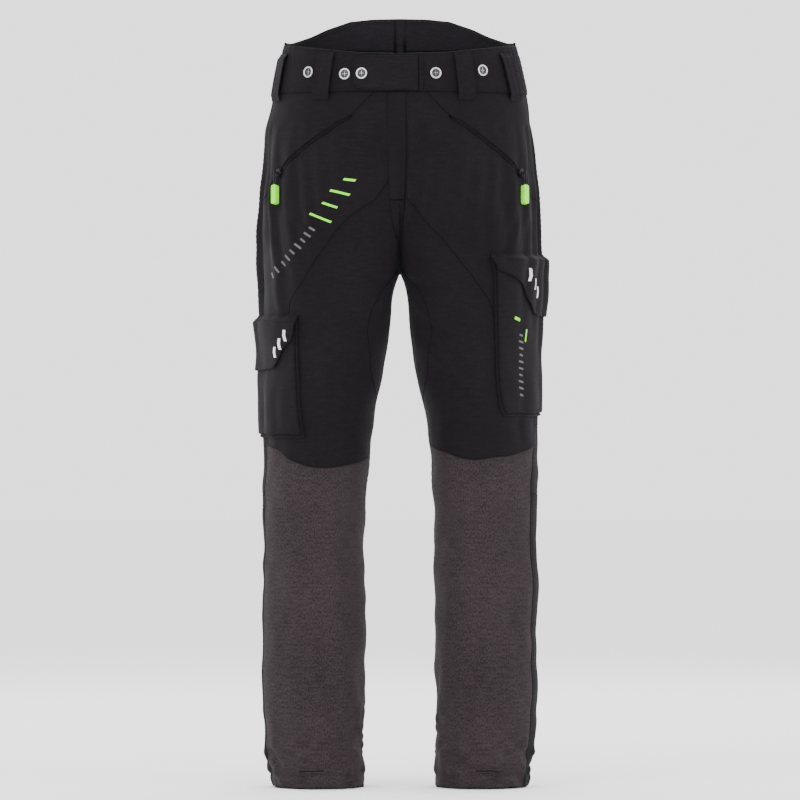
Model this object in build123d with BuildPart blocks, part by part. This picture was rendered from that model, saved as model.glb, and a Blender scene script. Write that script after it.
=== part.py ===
"""Chainsaw protective trousers, worn form, built panel by panel the way they are sewn.

Millimetres. The origin is the centre of the waist on the belt line, +Z is up, the wearer faces -Y and the
wearer's left is +X. Heights in the tables are above the hems; level() turns them into Z.
"""

import os
from math import atan2, cos, degrees, radians, sin, sqrt

from build123d import *

# ---------------------------------------------------------------- driving dimensions
BELT_LINE = 1030.0  # height of the belt line above the hems
BAND_LOW = 1002.0  # lower edge of the waistband
FORM_TOP = 1125.0

# One side of the garment: height, centre x, centre y, half width, half depth of its elliptical section.
# Above the crotch the ellipse reaches over the centre plane and is cut there.
STATIONS = (
    (0, 119, 8, 67, 70),
    (60, 122, 8, 72, 74),
    (150, 122, 7, 73.5, 77),
    (240, 122, 6, 75.5, 80),
    (335, 121, 4, 74, 82.5),
    (430, 118, 2, 75, 86),
    (530, 113, 3, 81, 97),
    (640, 102, 6, 91, 114),
    (745, 100, 8, 100, 129),
    (800, 88, 9, 116, 137),
    (860, 52, 10, 151, 140),
    (930, 0, 9, 193, 130.5),
    (1000, 0, 4, 184, 123),
    (1056, 0, 1, 172, 115),
    (FORM_TOP, 0, 2, 156, 108),
)
SIDES = {"left": 1, "right": -1}
SIDE_SEAM_Y = {"left": -8.0, "right": -16.0}
REACH = 240.0  # beyond the garment in every horizontal direction
OVER = 20.0  # beyond the garment above and below

# Layers, as (outer, inner) depths inside the outer surface; a negative depth stands proud of it.
SHELL = (0.0, 2.0)
POCKET_BAG = (4.6, 5.6)
PAD = (6.0, 10.0)
LINING = (10.4, 11.4)
BAND = (-1.2, 2.0)
TAB = (-5.2, -2.6)
FACING = (2.3, 3.5)
BACK_TAPE = (3.8, 5.0)
PLACKET = (-1.6, -0.3)
POUCH = (-6.4, -0.3)
POUCH_ROOM = (-5.0, -1.6)
LEDGE = (-8.4, -1.6)
LOOP_TAPE = (-7.2, -6.4)
HOOK_TAPE = (-8.4, -7.6)
FLAP = (-10.2, -8.4)
REFLECTOR = (-10.7, -10.2)

# Seams in front view, as (distance from the centre line, height).
HIP_SEAM = ((37, BAND_LOW), (75, 961), (120, 932), (162, 900), (195, 858), (REACH, 800))
THIGH_SEAM = {
    "left": ((0, 852), (37, 819), (82, 768), (127, 705), (150, 640), (165, 590), (REACH, 560)),
    "right": ((0, 878), (37, 848), (88, 809), (125, 757), (157, 700), (175, 640), (REACH, 560)),
}
GUSSET_SEAM = ((0, 759), (28, 725), (48, 670), (43, 620), (33, 557), (0, 505))
SEAT_SEAM = ((0, 806), (70, 778), (140, 742), (REACH, 700))
BAND_TOP = ((0, 1056), (60, 1058), (120, 1065), (170, 1073), (REACH, 1078))
BACK_TOP = ((0, 1119), (40, 1118), (73, 1114), (106, 1102), (130, 1090), (158, 1079), (REACH, 1070))
BACK_JOIN = 1060.0  # where the raised back is sewn to the waistband

# Knee hinge: an axis across each leg, forward of its centre, with an open wedge behind it.
KNEE_HEIGHT = 470.0
KNEE_Y = -38.0
KNEE_TRAVEL = 60.0
WEDGE_HALF = KNEE_TRAVEL / 2 + 1.0
KNEE_GAP = 0.3
KNEE_RELIEF = 4.0
STRETCH_SHIFT = 0.6

# Fly: a zip behind a placket that is stitched along its left edge.
PLACKET_X = (-18.0, 9.0)
PLACKET_LOW = 846.0
SLOT_X = (-14.0, 5.0)
SLOT_LOW = 850.0
INNER_SLOT_X = (-24.0, 14.0)
FLY_ZIP = (-4.5, -113.4)
FLY_TOP = 998.0
FLY_SLIDER_AT = 986.0
FLY_TAPE_LOW = 856.0
SHIELD_X = (-20.0, 10.0)
SHIELD_Y = (-109.0, -108.0)

# Waist tab, hinged at its stitched end
TAB_X = (-66.0, 26.0)
TAB_HEIGHTS = (1003.0, 1053.0)
TAB_CORNER = 13.0

# Ring snaps: (x, height) of those on the band, the one on the tab and the stud behind it
BAND_SNAPS = ((-131, 1031), (-79, 1027), (51, 1028), (118, 1033))
TAB_SNAP = (-54, 1027)
SNAP_R = 8.5
SNAP_HIGH = 1.7
SNAP_WELL_R = 5.6
SNAP_WELL = 1.1
SNAP_SPOKE = 1.1
SNAP_HUB_R = 1.6
STUD_R = 3.0
STUD_HIGH = 1.0

# Belt loops: x of each, front ones first, and the strap's size
FRONT_LOOPS = (-172, -109, 92, 158)
BACK_LOOPS = (-95, 0, 95)
LOOP_WIDTH = 27.0
LOOP_HEIGHTS = (991.0, 1059.0)
LOOP_GAP = 7.2
LOOP_THICK = 1.6
LOOP_TACK = 6.0

# Hand pocket zips, from the upper end to the closed, lower end
ZIP_POINTS = ((72, 965), (128, 927), (178, 883))
ZIP_TAPE_HALF = 5.8
ZIP_SLOT_HALF = 6.0
ZIP_SLOT_DEEP = 16.0
ZIP_SLOT_SPARE = 1.0  # beyond each end of the tape
TAPE_THICK = 0.8
COIL_INSIDE = 0.9
COIL_OUTSIDE = 2.3
COIL_HIGH = 1.6
SLIDER_LONG = 11.0
SLIDER_HALF = 4.3
PLATE_THICK = 1.4
PLATE_CLEAR = 0.4
POST_HALF = 0.45
POST_LONG = 4.0
FLANGE_IN = 3.1

# Slider pulls
BAR_R = 0.8
PULL_LEAN = 15.0  # off the vertical, where the pull rests on the cloth
BAR_OUT = 8.2  # bar's height over the middle of the tape
LUG_AT = 2.4
LUG_WIDE = 1.2
LUG_LONG = 2.6
CORD_R = 1.0
CORD_CLEAR = 0.4
CORD_DROP = 19.0
GRIP = (9.0, 28.0, 7.0)
GRIP_ROUND = 2.6
FLY_PULL = (6.0, 20.0, 1.2)
FLY_PULL_OUT = 5.0

# Cargo pockets: heights of the flap's top edge and the pouch's foot, the pouch's front edge and the flap's
# lower edge in front view, and how far round the back they reach.
CARGO = {
    "left": {
        "top": 762.0,
        "foot": 536.0,
        "front": ((134, 766), (137, 600), (146, 536)),
        "flap": ((138, 748), (160, 740), (176, 728), (188, 706), (196, 684), (REACH, 668)),
        "bars": ((192, 738), (198, 726), (203, 714)),
    },
    "right": {
        "top": 674.0,
        "foot": 505.0,
        "front": ((148, 678), (143, 590), (135, 505)),
        "flap": ((149, 650), (163, 642), (174, 628), (179, 614), (184, 604), (REACH, 596)),
        "bars": ((168, 652), (176, 640), (183, 628)),
    },
}
CARGO_BACK = 74.0
FLAP_BACK = 80.0
POUCH_WALL = 1.6
POUCH_MOUTH = 16.0  # below the top edge
LEDGE_HIGH = 4.0
FLAP_EASE = 0.5
HOOK_Y = (-16.0, 24.0)
HOOK_DROP = (26.0, 44.0)
OUTER_HALF = 100.0  # beyond this a leg's surface is its outer side
BAR_SIZE = (4.0, 16.0)
BAR_LEAN = 25.0

HEM_LINING = 14.0
SHIN_PAD = (60.0, 460.0)
THIGH_PAD = (480.0, 838.0)
BAG = (806.0, 992.0)
BAG_INNER = 58.0


# ---------------------------------------------------------------- the form
def level(height):
    """Z of a height above the hems."""
    return height - BELT_LINE


def section(height):
    """(centre x, centre y, half width, half depth) of one side at a height, by cubic interpolation."""
    last = len(STATIONS) - 1
    i = max(k for k in range(last) if k == 0 or STATIONS[k][0] <= height)
    low, high = STATIONS[i], STATIONS[i + 1]
    before, after = STATIONS[max(i - 1, 0)], STATIONS[min(i + 2, last)]
    span = high[0] - low[0]
    t = (height - low[0]) / span
    values = []
    for k in range(1, 5):
        slope_low = (high[k] - before[k]) / (high[0] - before[0]) * span
        slope_high = (after[k] - low[k]) / (after[0] - low[0]) * span
        values.append(
            (2 * t**3 - 3 * t**2 + 1) * low[k]
            + (t**3 - 2 * t**2 + t) * slope_low
            + (3 * t**2 - 2 * t**3) * high[k]
            + (t**3 - t**2) * slope_high
        )
    return values


def on_surface(x, height, back=False):
    """A point of the outer surface at x and a height, and the surface's horizontal outward normal there."""
    sign = 1 if x >= 0 else -1
    cx, cy, a, b = section(height)
    u = (abs(x) - cx) / a
    v = sqrt(max(0.0, 1 - u * u)) * (1 if back else -1)
    return Vector(x, cy + b * v, level(height)), Vector(sign * u / a, v / b, 0).normalized()


def wall_plane(x, low, high, back=False):
    """A plane on the outer surface midway between two heights, facing outward, its Y axis up the surface."""
    foot, normal = on_surface(x, low, back)
    head = on_surface(x, high, back)[0]
    up = (head - foot).normalized()
    across = up.cross(normal).normalized()
    return Plane(origin=(foot + head) / 2, x_dir=across, z_dir=across.cross(up))


def half_form(sign, depth):
    """The solid form of one side, all of it the given depth inside the outer surface."""
    with BuildPart() as form:
        for height, cx, cy, a, b in STATIONS:
            with BuildSketch(Plane.XY.offset(level(height))):
                with Locations((sign * cx, cy)):
                    Ellipse(a - depth, b - depth)
        loft()
        split(bisect_by=Plane.YZ, keep=Keep.TOP if sign > 0 else Keep.BOTTOM)
    return form.part


FORMS = {}


def form_at(sign, depth):
    """half_form, made once for each side and depth."""
    if (sign, depth) not in FORMS:
        FORMS[sign, depth] = half_form(sign, depth)
    return FORMS[sign, depth]


def layer(sign, depths):
    """One layer of one side: the space between two depths."""
    outer, inner = (form_at(sign, depth) for depth in depths)
    with BuildPart() as cloth:
        add(outer)
        add(inner, mode=Mode.SUBTRACT)
    return cloth.part


def crown(depth):
    """The solid form above the hips, both sides in one, the given depth inside the outer surface."""
    with BuildPart() as form:
        for height, cx, cy, a, b in STATIONS:
            if cx == 0:
                with BuildSketch(Plane.XY.offset(level(height))):
                    with Locations((cx, cy)):
                        Ellipse(a - depth, b - depth)
        loft()
    return form.part


def crown_layer(depths):
    """One layer of the form above the hips."""
    outer, inner = (crown(depth) for depth in depths)
    with BuildPart() as cloth:
        add(outer)
        add(inner, mode=Mode.SUBTRACT)
    return cloth.part


def whole_layer(depths):
    """One layer of both sides in one, for a piece that crosses the centre line lower down."""
    left, right = (layer(sign, depths) for sign in SIDES.values())
    with BuildPart() as cloth:
        add(left)
        add(right)
    return cloth.part


def closed(*runs):
    """Runs of points joined end to start by straight lines into a closed outline."""
    pieces = []
    for i, run in enumerate(runs):
        following = runs[(i + 1) % len(runs)][0]
        if len(run) > 1:
            pieces.append(run)
        if run[-1] != following:
            pieces.append((run[-1], following))
    return pieces


def prism(sign, outline, y_back, y_front=-REACH):
    """The space behind an outline drawn in front view, between two depths of the garment."""
    with BuildPart() as solid:
        with BuildSketch(Plane.XZ.offset(-y_back)):
            with BuildLine():
                for run in outline:
                    points = [(sign * x, level(height)) for x, height in run]
                    if len(points) == 2:
                        Line(*points)
                    else:
                        Spline(*points)
            make_face()
        extrude(amount=y_back - y_front)
    return solid.part


def slab(x, height, y):
    """A box from pairs of limits: across, up and front to back."""
    with BuildPart() as box:
        with Locations(((x[0] + x[1]) / 2, (y[0] + y[1]) / 2, level((height[0] + height[1]) / 2))):
            Box(x[1] - x[0], y[1] - y[0], height[1] - height[0])
    return box.part


def piece(name, stock, regions=(), removed=()):
    """A named piece: stock cut to each region in turn, less everything that is removed."""
    with BuildPart() as cut:
        add(stock)
        for region in regions:
            add(region, mode=Mode.INTERSECT)
        for gone in removed:
            add(gone, mode=Mode.SUBTRACT)
    cut.part.label = name
    return cut.part


def gathered(name, parts):
    """A named piece made of several separate solids."""
    with BuildPart() as group:
        for part in parts:
            add(part)
    group.part.label = name
    return group.part


def knee_wedge(shift=0.0):
    """The open wedge behind both knee axes, its apex shifted along the wedge's upper face."""
    half = radians(WEDGE_HALF)
    run_y, run_z = 2 * REACH * cos(half), 2 * REACH * sin(half)
    apex_y, apex_z = KNEE_Y + shift * cos(half), level(KNEE_HEIGHT) + shift * sin(half)
    with BuildPart() as wedge:
        with BuildSketch(Plane.YZ.offset(-REACH)):
            with BuildLine():
                Line((apex_y, apex_z), (apex_y + run_y, apex_z + run_z))
                Line((apex_y + run_y, apex_z + run_z), (apex_y + run_y, apex_z - run_z))
                Line((apex_y + run_y, apex_z - run_z), (apex_y, apex_z))
            make_face()
        extrude(amount=2 * REACH)
    return wedge.part


def knee_bore():
    """The round relief along both knee axes."""
    with BuildPart() as bore:
        with BuildSketch(Plane.YZ.offset(-REACH)):
            with Locations((KNEE_Y, level(KNEE_HEIGHT))):
                Circle(KNEE_RELIEF)
        extrude(amount=2 * REACH)
    return bore.part


KNEE_CUT = (knee_wedge(), knee_bore())
EVERYWHERE_Y = (-REACH, REACH)
ABOVE_KNEE = slab((-REACH, REACH), (KNEE_HEIGHT + KNEE_GAP, FORM_TOP + OVER), EVERYWHERE_Y)
BELOW_KNEE = slab((-REACH, REACH), (-OVER, KNEE_HEIGHT - KNEE_GAP), EVERYWHERE_Y)


# ---------------------------------------------------------------- hand pocket zips
def zip_arc(sign):
    """Centre, radius, axis, direction of the upper end and swept angle of a hand pocket zip."""
    high, middle, low = (on_surface(sign * x, height)[0] for x, height in ZIP_POINTS)
    first, second = middle - high, low - high
    across = first.cross(second)
    to_centre = across.cross(first) * second.length**2 + second.cross(across) * first.length**2
    centre = high + to_centre / (2 * across.length**2)
    axis = across.normalized()
    start, end = (high - centre).normalized(), (low - centre).normalized()
    swept = degrees(atan2(start.cross(end).dot(axis), start.dot(end)))
    return centre, (high - centre).length, axis, start, swept


def zip_plane(sign, angle):
    """The plane across the zip at an angle along it: X outward from the arc's centre, Y along its axis."""
    centre, _, axis, start, _ = zip_arc(sign)
    outward = start * cos(radians(angle)) + axis.cross(start) * sin(radians(angle))
    return Plane(origin=centre, x_dir=outward, z_dir=outward.cross(axis))


def zip_tilt(sign):
    """The angle that turns the zip's section to lie in the garment's surface."""
    axis = zip_arc(sign)[2]
    x, height = ZIP_POINTS[1]
    low, high = on_surface(sign * x, height - OVER)[0], on_surface(sign * x, height + OVER)[0]
    flat = on_surface(sign * x, height)[1]
    rise = (high - low).normalized()
    normal = rise.cross(flat.cross(rise)).normalized()
    outward = zip_plane(sign, zip_arc(sign)[4] / 2).x_dir
    return degrees(atan2(normal.dot(axis), normal.dot(outward)))


def along_zip(sign, start, sweep, bars):
    """Strips that follow the zip; each bar of the section is (across, outward, width, thickness)."""
    centre, radius, axis, _, _ = zip_arc(sign)
    tilt = zip_tilt(sign)
    with BuildPart() as strips:
        with BuildSketch(zip_plane(sign, start)):
            for across, outward, width, thickness in bars:
                with Locations(Pos(radius, 0) * Rot(0, 0, tilt) * Pos(outward, across)):
                    Rectangle(thickness, width)
        revolve(axis=Axis(centre, axis), revolution_arc=sweep)
    return strips.part


def strip(low, high, inner, outer):
    """A bar of a section from its limits across and outward."""
    return ((low + high) / 2, (inner + outer) / 2, high - low, outer - inner)


TAPE_FACE = TAPE_THICK / 2
COIL_TOP = TAPE_FACE + COIL_HIGH
TAPE_BARS = [strip(COIL_INSIDE, ZIP_TAPE_HALF, -TAPE_FACE, TAPE_FACE)]
TAPE_BARS += [strip(-ZIP_TAPE_HALF, -COIL_INSIDE, -TAPE_FACE, TAPE_FACE)]
COIL_BARS = [strip(COIL_INSIDE, COIL_OUTSIDE, TAPE_FACE, COIL_TOP)]
COIL_BARS += [strip(-COIL_OUTSIDE, -COIL_INSIDE, TAPE_FACE, COIL_TOP)]
FRONT_PLATE = COIL_TOP + PLATE_CLEAR
BACK_PLATE = -TAPE_FACE - PLATE_CLEAR
SLIDER_BARS = [strip(-SLIDER_HALF, SLIDER_HALF, FRONT_PLATE, FRONT_PLATE + PLATE_THICK)]
SLIDER_BARS += [strip(-SLIDER_HALF, SLIDER_HALF, BACK_PLATE - PLATE_THICK, BACK_PLATE)]
SLIDER_BARS += [strip(FLANGE_IN, SLIDER_HALF, TAPE_FACE + PLATE_CLEAR, FRONT_PLATE)]
SLIDER_BARS += [strip(-SLIDER_HALF, -FLANGE_IN, TAPE_FACE + PLATE_CLEAR, FRONT_PLATE)]
POST_BARS = [strip(-POST_HALF, POST_HALF, BACK_PLATE, FRONT_PLATE)]


def degrees_of(sign, length):
    """The angle of the zip's arc that a length along it covers."""
    return degrees(length / zip_arc(sign)[1])


def slider_plane(sign):
    """The plane of the tape at the closed slider: X level, Y up, Z outward."""
    arc = zip_arc(sign)
    across = zip_plane(sign, arc[4] - degrees_of(sign, SLIDER_LONG / 2))
    tilt = radians(zip_tilt(sign))
    outward = across.x_dir * cos(tilt) + across.y_dir * sin(tilt)
    return Plane(
        origin=across.origin + across.x_dir * arc[1],
        x_dir=Vector(0, 0, 1).cross(outward).normalized(),
        z_dir=outward,
    )


def hand_zip(side):
    """Slider, cord and grip of one hand pocket."""
    sign = SIDES[side]
    end = zip_arc(sign)[4]
    long, post = degrees_of(sign, SLIDER_LONG), degrees_of(sign, POST_LONG)
    plates = along_zip(sign, end - long, long, SLIDER_BARS)
    middle = along_zip(sign, end - (long + post) / 2, post, POST_BARS)
    plane = slider_plane(sign)
    with BuildPart() as slider:
        add(plates)
        add(middle)
        with BuildSketch(plane.offset(FRONT_PLATE + PLATE_THICK / 2)):
            with Locations((-LUG_AT, 0), (LUG_AT, 0)):
                Rectangle(LUG_WIDE, LUG_LONG)
        extrude(amount=BAR_OUT + BAR_R - FRONT_PLATE - PLATE_THICK / 2)
        with BuildSketch(Plane(origin=plane.from_local_coords((-LUG_AT, 0, BAR_OUT)), z_dir=plane.x_dir)):
            Circle(BAR_R)
        extrude(amount=2 * LUG_AT)
    slider.part.label = f"hand_zip_slider_{side}"

    bar = plane.from_local_coords(Vector(0, 0, BAR_OUT))
    hanging = Plane(origin=bar, x_dir=plane.x_dir, z_dir=plane.x_dir.cross(Vector(0, 0, 1)))
    hanging = hanging.rotated((-PULL_LEAN, 0, 0))
    bend = BAR_R + CORD_CLEAR + CORD_R
    with BuildPart() as cord:
        with BuildLine(Plane(origin=bar, x_dir=hanging.z_dir, z_dir=-hanging.x_dir)) as loop:
            Line((-bend, -CORD_DROP), (-bend, 0))
            ThreePointArc((-bend, 0), (0, bend), (bend, 0))
            Line((bend, 0), (bend, -CORD_DROP))
        with BuildSketch(Plane(origin=loop.line @ 0, z_dir=loop.line % 0)):
            Circle(CORD_R)
        sweep(path=loop.line)
    cord.part.label = f"hand_zip_cord_{side}"

    wide, long, thick = GRIP
    with BuildPart() as grip:
        with BuildSketch(hanging.offset(-thick / 2)):
            with Locations((0, -CORD_DROP - long / 2)):
                RectangleRounded(wide, long, GRIP_ROUND)
        extrude(amount=thick)
    grip.part.label = f"hand_zip_grip_{side}"
    return [slider.part, cord.part, grip.part]


def zip_slot(sign):
    """What the zip's opening takes out of the cloth."""
    spare = degrees_of(sign, ZIP_SLOT_SPARE)
    return along_zip(sign, -spare, zip_arc(sign)[4] + 2 * spare, [(0, 0, 2 * ZIP_SLOT_HALF, ZIP_SLOT_DEEP)])


# ---------------------------------------------------------------- groups of pieces
def shell_panels():
    """The outer cloth."""
    made = []
    fly_slot = slab(SLOT_X, (SLOT_LOW, BAND_LOW + OVER), (-REACH, 0))
    for side, sign in SIDES.items():
        seam = SIDE_SEAM_Y[side]
        shell = layer(sign, SHELL)
        upper = piece("upper", shell, (ABOVE_KNEE,), KNEE_CUT)
        lower = piece("lower", shell, (BELOW_KNEE,), KNEE_CUT)
        gusset = prism(sign, closed(GUSSET_SEAM), REACH)
        slots = (fly_slot, zip_slot(sign))
        thigh_seam = THIGH_SEAM[side]
        hip = prism(sign, closed(HIP_SEAM, ((REACH, BAND_LOW),)), seam)
        front = prism(sign, closed(((0, BAND_LOW),), HIP_SEAM, thigh_seam[::-1]), seam)
        thigh = prism(sign, closed(thigh_seam, ((REACH, 0),), ((0, 0),)), seam)
        seat = prism(sign, closed(((0, BAND_LOW),), ((REACH, BAND_LOW),), SEAT_SEAM[::-1]), REACH, seam)
        back = prism(sign, closed(SEAT_SEAM, ((REACH, 0),), ((0, 0),)), REACH, seam)
        before = slab((-REACH, REACH), (-OVER, FORM_TOP), (-REACH, seam))
        made.append(piece(f"hip_panel_{side}", upper, (hip,), slots))
        made.append(piece(f"upper_front_panel_{side}", upper, (front,), (gusset,) + slots))
        made.append(piece(f"thigh_front_panel_{side}", upper, (thigh,), (gusset,)))
        made.append(piece(f"inner_thigh_panel_{side}", upper, (gusset,)))
        made.append(piece(f"seat_panel_{side}", upper, (seat,), (gusset,)))
        made.append(piece(f"thigh_back_panel_{side}", upper, (back,), (gusset,)))
        made.append(piece(f"knee_stretch_panel_{side}", shell, (knee_wedge(STRETCH_SHIFT),)))
        made.append(piece(f"shin_front_panel_{side}", lower, (before,)))
        made.append(piece(f"calf_back_panel_{side}", lower, (), (before,)))
    return made


def inner_layers():
    """Cut-protective pads, lining and pocket bags."""
    made, linings, bags = [], [], []
    inner_slot = slab(INNER_SLOT_X, (PLACKET_LOW, BAND_LOW + OVER), (-REACH, 0))
    for side, sign in SIDES.items():
        pad, lining = layer(sign, PAD), layer(sign, LINING)
        for name, heights in (("thigh", THIGH_PAD), ("shin", SHIN_PAD)):
            zone = slab((-REACH, REACH), heights, (-REACH, SIDE_SEAM_Y[side]))
            made.append(piece(f"{name}_pad_{side}", pad, (zone,), KNEE_CUT))
        upper_zone = slab((-REACH, REACH), (KNEE_HEIGHT + KNEE_GAP, BAND_LOW), EVERYWHERE_Y)
        lower_zone = slab((-REACH, REACH), (HEM_LINING, KNEE_HEIGHT - KNEE_GAP), EVERYWHERE_Y)
        linings.append(piece("half", lining, (upper_zone,), KNEE_CUT + (inner_slot,)))
        made.append(piece(f"lining_lower_{side}", lining, (lower_zone,), KNEE_CUT))
        zone = slab(sorted((sign * BAG_INNER, sign * REACH)), BAG, (-REACH, SIDE_SEAM_Y[side]))
        bags.append(piece("bag", layer(sign, POCKET_BAG), (zone,)))
    made.append(gathered("lining_upper", linings))
    made.append(gathered("pocket_bags", bags))
    return made


def both_sides(run):
    """A run drawn for x >= 0, mirrored to reach across the centre line."""
    return tuple((-x, height) for x, height in run[:0:-1]) + tuple(run)


def waist():
    """Waistband, its tab, snaps and loops, and the raised back."""
    seam = max(SIDE_SEAM_Y.values())
    band = crown_layer(BAND)
    front = prism(1, closed(both_sides(BAND_TOP), ((REACH, BAND_LOW),), ((-REACH, BAND_LOW),)), seam)
    split_x = FLY_ZIP[0]
    band_right = piece("waistband_right", band, (front, slab((-REACH, split_x), (0, FORM_TOP), EVERYWHERE_Y)))
    band_left = piece("waistband_left", band, (front, slab((split_x, REACH), (0, FORM_TOP), EVERYWHERE_Y)))
    band_back = piece("waistband_back", band, (slab((-REACH, REACH), (BAND_LOW, BACK_JOIN), (seam, REACH)),))
    high = closed(both_sides(BACK_TOP), ((REACH, BACK_JOIN),), ((-REACH, BACK_JOIN),))
    raised = prism(1, high, REACH, seam)
    kidney = piece("kidney_panel", crown_layer(SHELL), (raised,))
    lined = prism(1, closed(both_sides(BACK_TOP), ((REACH, BAND_LOW),), ((-REACH, BAND_LOW),)), REACH, seam)
    facing = piece("kidney_facing", crown_layer(FACING), (lined,))
    tape = piece("back_tape", crown_layer(BACK_TAPE), (slab((-9, 9), (BAND_LOW, 1112), (0, REACH)),))

    low, high = TAB_HEIGHTS
    free, hinge = TAB_X
    tab_shape = closed(
        ((hinge, high),),
        ((free + TAB_CORNER, high),),
        ((free, (low + high) / 2 + TAB_CORNER),),
        ((free, (low + high) / 2 - TAB_CORNER),),
        ((free + TAB_CORNER, low),),
        ((hinge, low),),
    )
    tab = piece("waist_tab", crown_layer(TAB), (prism(1, tab_shape, 0),))

    snaps = [snap(x, height, -BAND[0]) for x, height in BAND_SNAPS]
    stud_face = wall_plane(TAB_SNAP[0], TAB_SNAP[1] - SNAP_R, TAB_SNAP[1] + SNAP_R)
    with BuildPart() as stud:
        with BuildSketch(stud_face.offset(-BAND[0])):
            Circle(STUD_R)
        extrude(amount=STUD_HIGH)
    band_snaps = gathered("waistband_snaps", snaps + [stud.part])
    tab_snap = gathered("tab_snap", [snap(*TAB_SNAP, -TAB[0])])

    straps = [loop(x, False) for x in FRONT_LOOPS] + [loop(x, True) for x in BACK_LOOPS]
    loops = piece("belt_loops", gathered("loops", straps), (), (crown(BAND[0]),))
    return [band_right, band_left, band_back, kidney, facing, tape, tab, band_snaps, tab_snap, loops]


def snap(x, height, out):
    """One ring snap, its face toward the front, standing on a layer that is out from the surface."""
    face = wall_plane(x, height - SNAP_R, height + SNAP_R).offset(out + 0.1)
    with BuildPart() as button:
        with BuildSketch(face):
            Circle(SNAP_R)
        extrude(amount=SNAP_HIGH)
        rim = button.edges().filter_by(GeomType.CIRCLE)
        fillet(rim.sort_by_distance(face.from_local_coords((0, 0, SNAP_HIGH)))[0], SNAP_WELL / 2)
        with BuildSketch(face.offset(SNAP_HIGH)):
            Circle(SNAP_WELL_R)
            Rectangle(SNAP_SPOKE, 2 * SNAP_WELL_R, mode=Mode.SUBTRACT)
            Rectangle(2 * SNAP_WELL_R, SNAP_SPOKE, mode=Mode.SUBTRACT)
            Circle(SNAP_HUB_R, mode=Mode.SUBTRACT)
        extrude(amount=-SNAP_WELL, mode=Mode.SUBTRACT)
    return button.part


def loop(x, back):
    """One belt loop: a strap that stands clear of the band between its two tacked ends."""
    low, high = LOOP_HEIGHTS
    face = wall_plane(x, low, high, back)
    long = high - low
    with BuildPart() as strap:
        with BuildSketch(face.offset(LOOP_GAP)):
            Rectangle(LOOP_WIDTH, long)
        extrude(amount=LOOP_THICK)
        with BuildSketch(face.offset(LOOP_GAP)):
            with Locations((0, (long - LOOP_TACK) / 2), (0, -(long - LOOP_TACK) / 2)):
                Rectangle(LOOP_WIDTH, LOOP_TACK)
        extrude(amount=-2 * LOOP_GAP)
    return strap.part


def fly():
    """Placket, zip and shield."""
    zip_x, zip_y = FLY_ZIP
    skin = whole_layer(PLACKET)
    placket = piece("fly_placket", skin, (slab(PLACKET_X, (PLACKET_LOW, BAND_LOW - FLAP_EASE), (-REACH, 0)),))
    shield = slab(SHIELD_X, (FLY_TAPE_LOW, FLY_TOP), SHIELD_Y)
    shield.label = "fly_shield"

    def upright(bars, low, high):
        """Strips up the fly; each bar is (across, outward, width, thickness)."""
        with BuildPart() as strips:
            with BuildSketch(Plane.XY.offset(level(low))):
                for across, outward, width, thickness in bars:
                    with Locations((zip_x + across, zip_y - outward)):
                        Rectangle(width, thickness)
            extrude(amount=high - low)
        return strips.part

    tape = gathered("fly_tape", [upright(TAPE_BARS, FLY_TAPE_LOW, FLY_TOP)])
    coil = gathered("fly_teeth", [upright(COIL_BARS, FLY_TAPE_LOW, FLY_TOP)])
    low, high = FLY_SLIDER_AT - SLIDER_LONG / 2, FLY_SLIDER_AT + SLIDER_LONG / 2
    plates = upright(SLIDER_BARS, low, high)
    post = upright(POST_BARS, FLY_SLIDER_AT - POST_LONG / 2, FLY_SLIDER_AT + POST_LONG / 2)
    slider = gathered("fly_slider", [plates, post])
    wide, long, thick = FLY_PULL
    with BuildPart() as pull:
        with BuildSketch(Plane.XZ.offset(-zip_y + FLY_PULL_OUT - thick)):
            with Locations((zip_x, level(FLY_SLIDER_AT) + wide / 2 - long / 2)):
                RectangleRounded(wide, long, wide / 3)
            with Locations((zip_x, level(FLY_SLIDER_AT) - long + wide)):
                Circle(wide / 5, mode=Mode.SUBTRACT)
        extrude(amount=thick)
    pull.part.label = "fly_pull"
    return [placket, shield, tape, coil, slider, pull.part]


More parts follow.
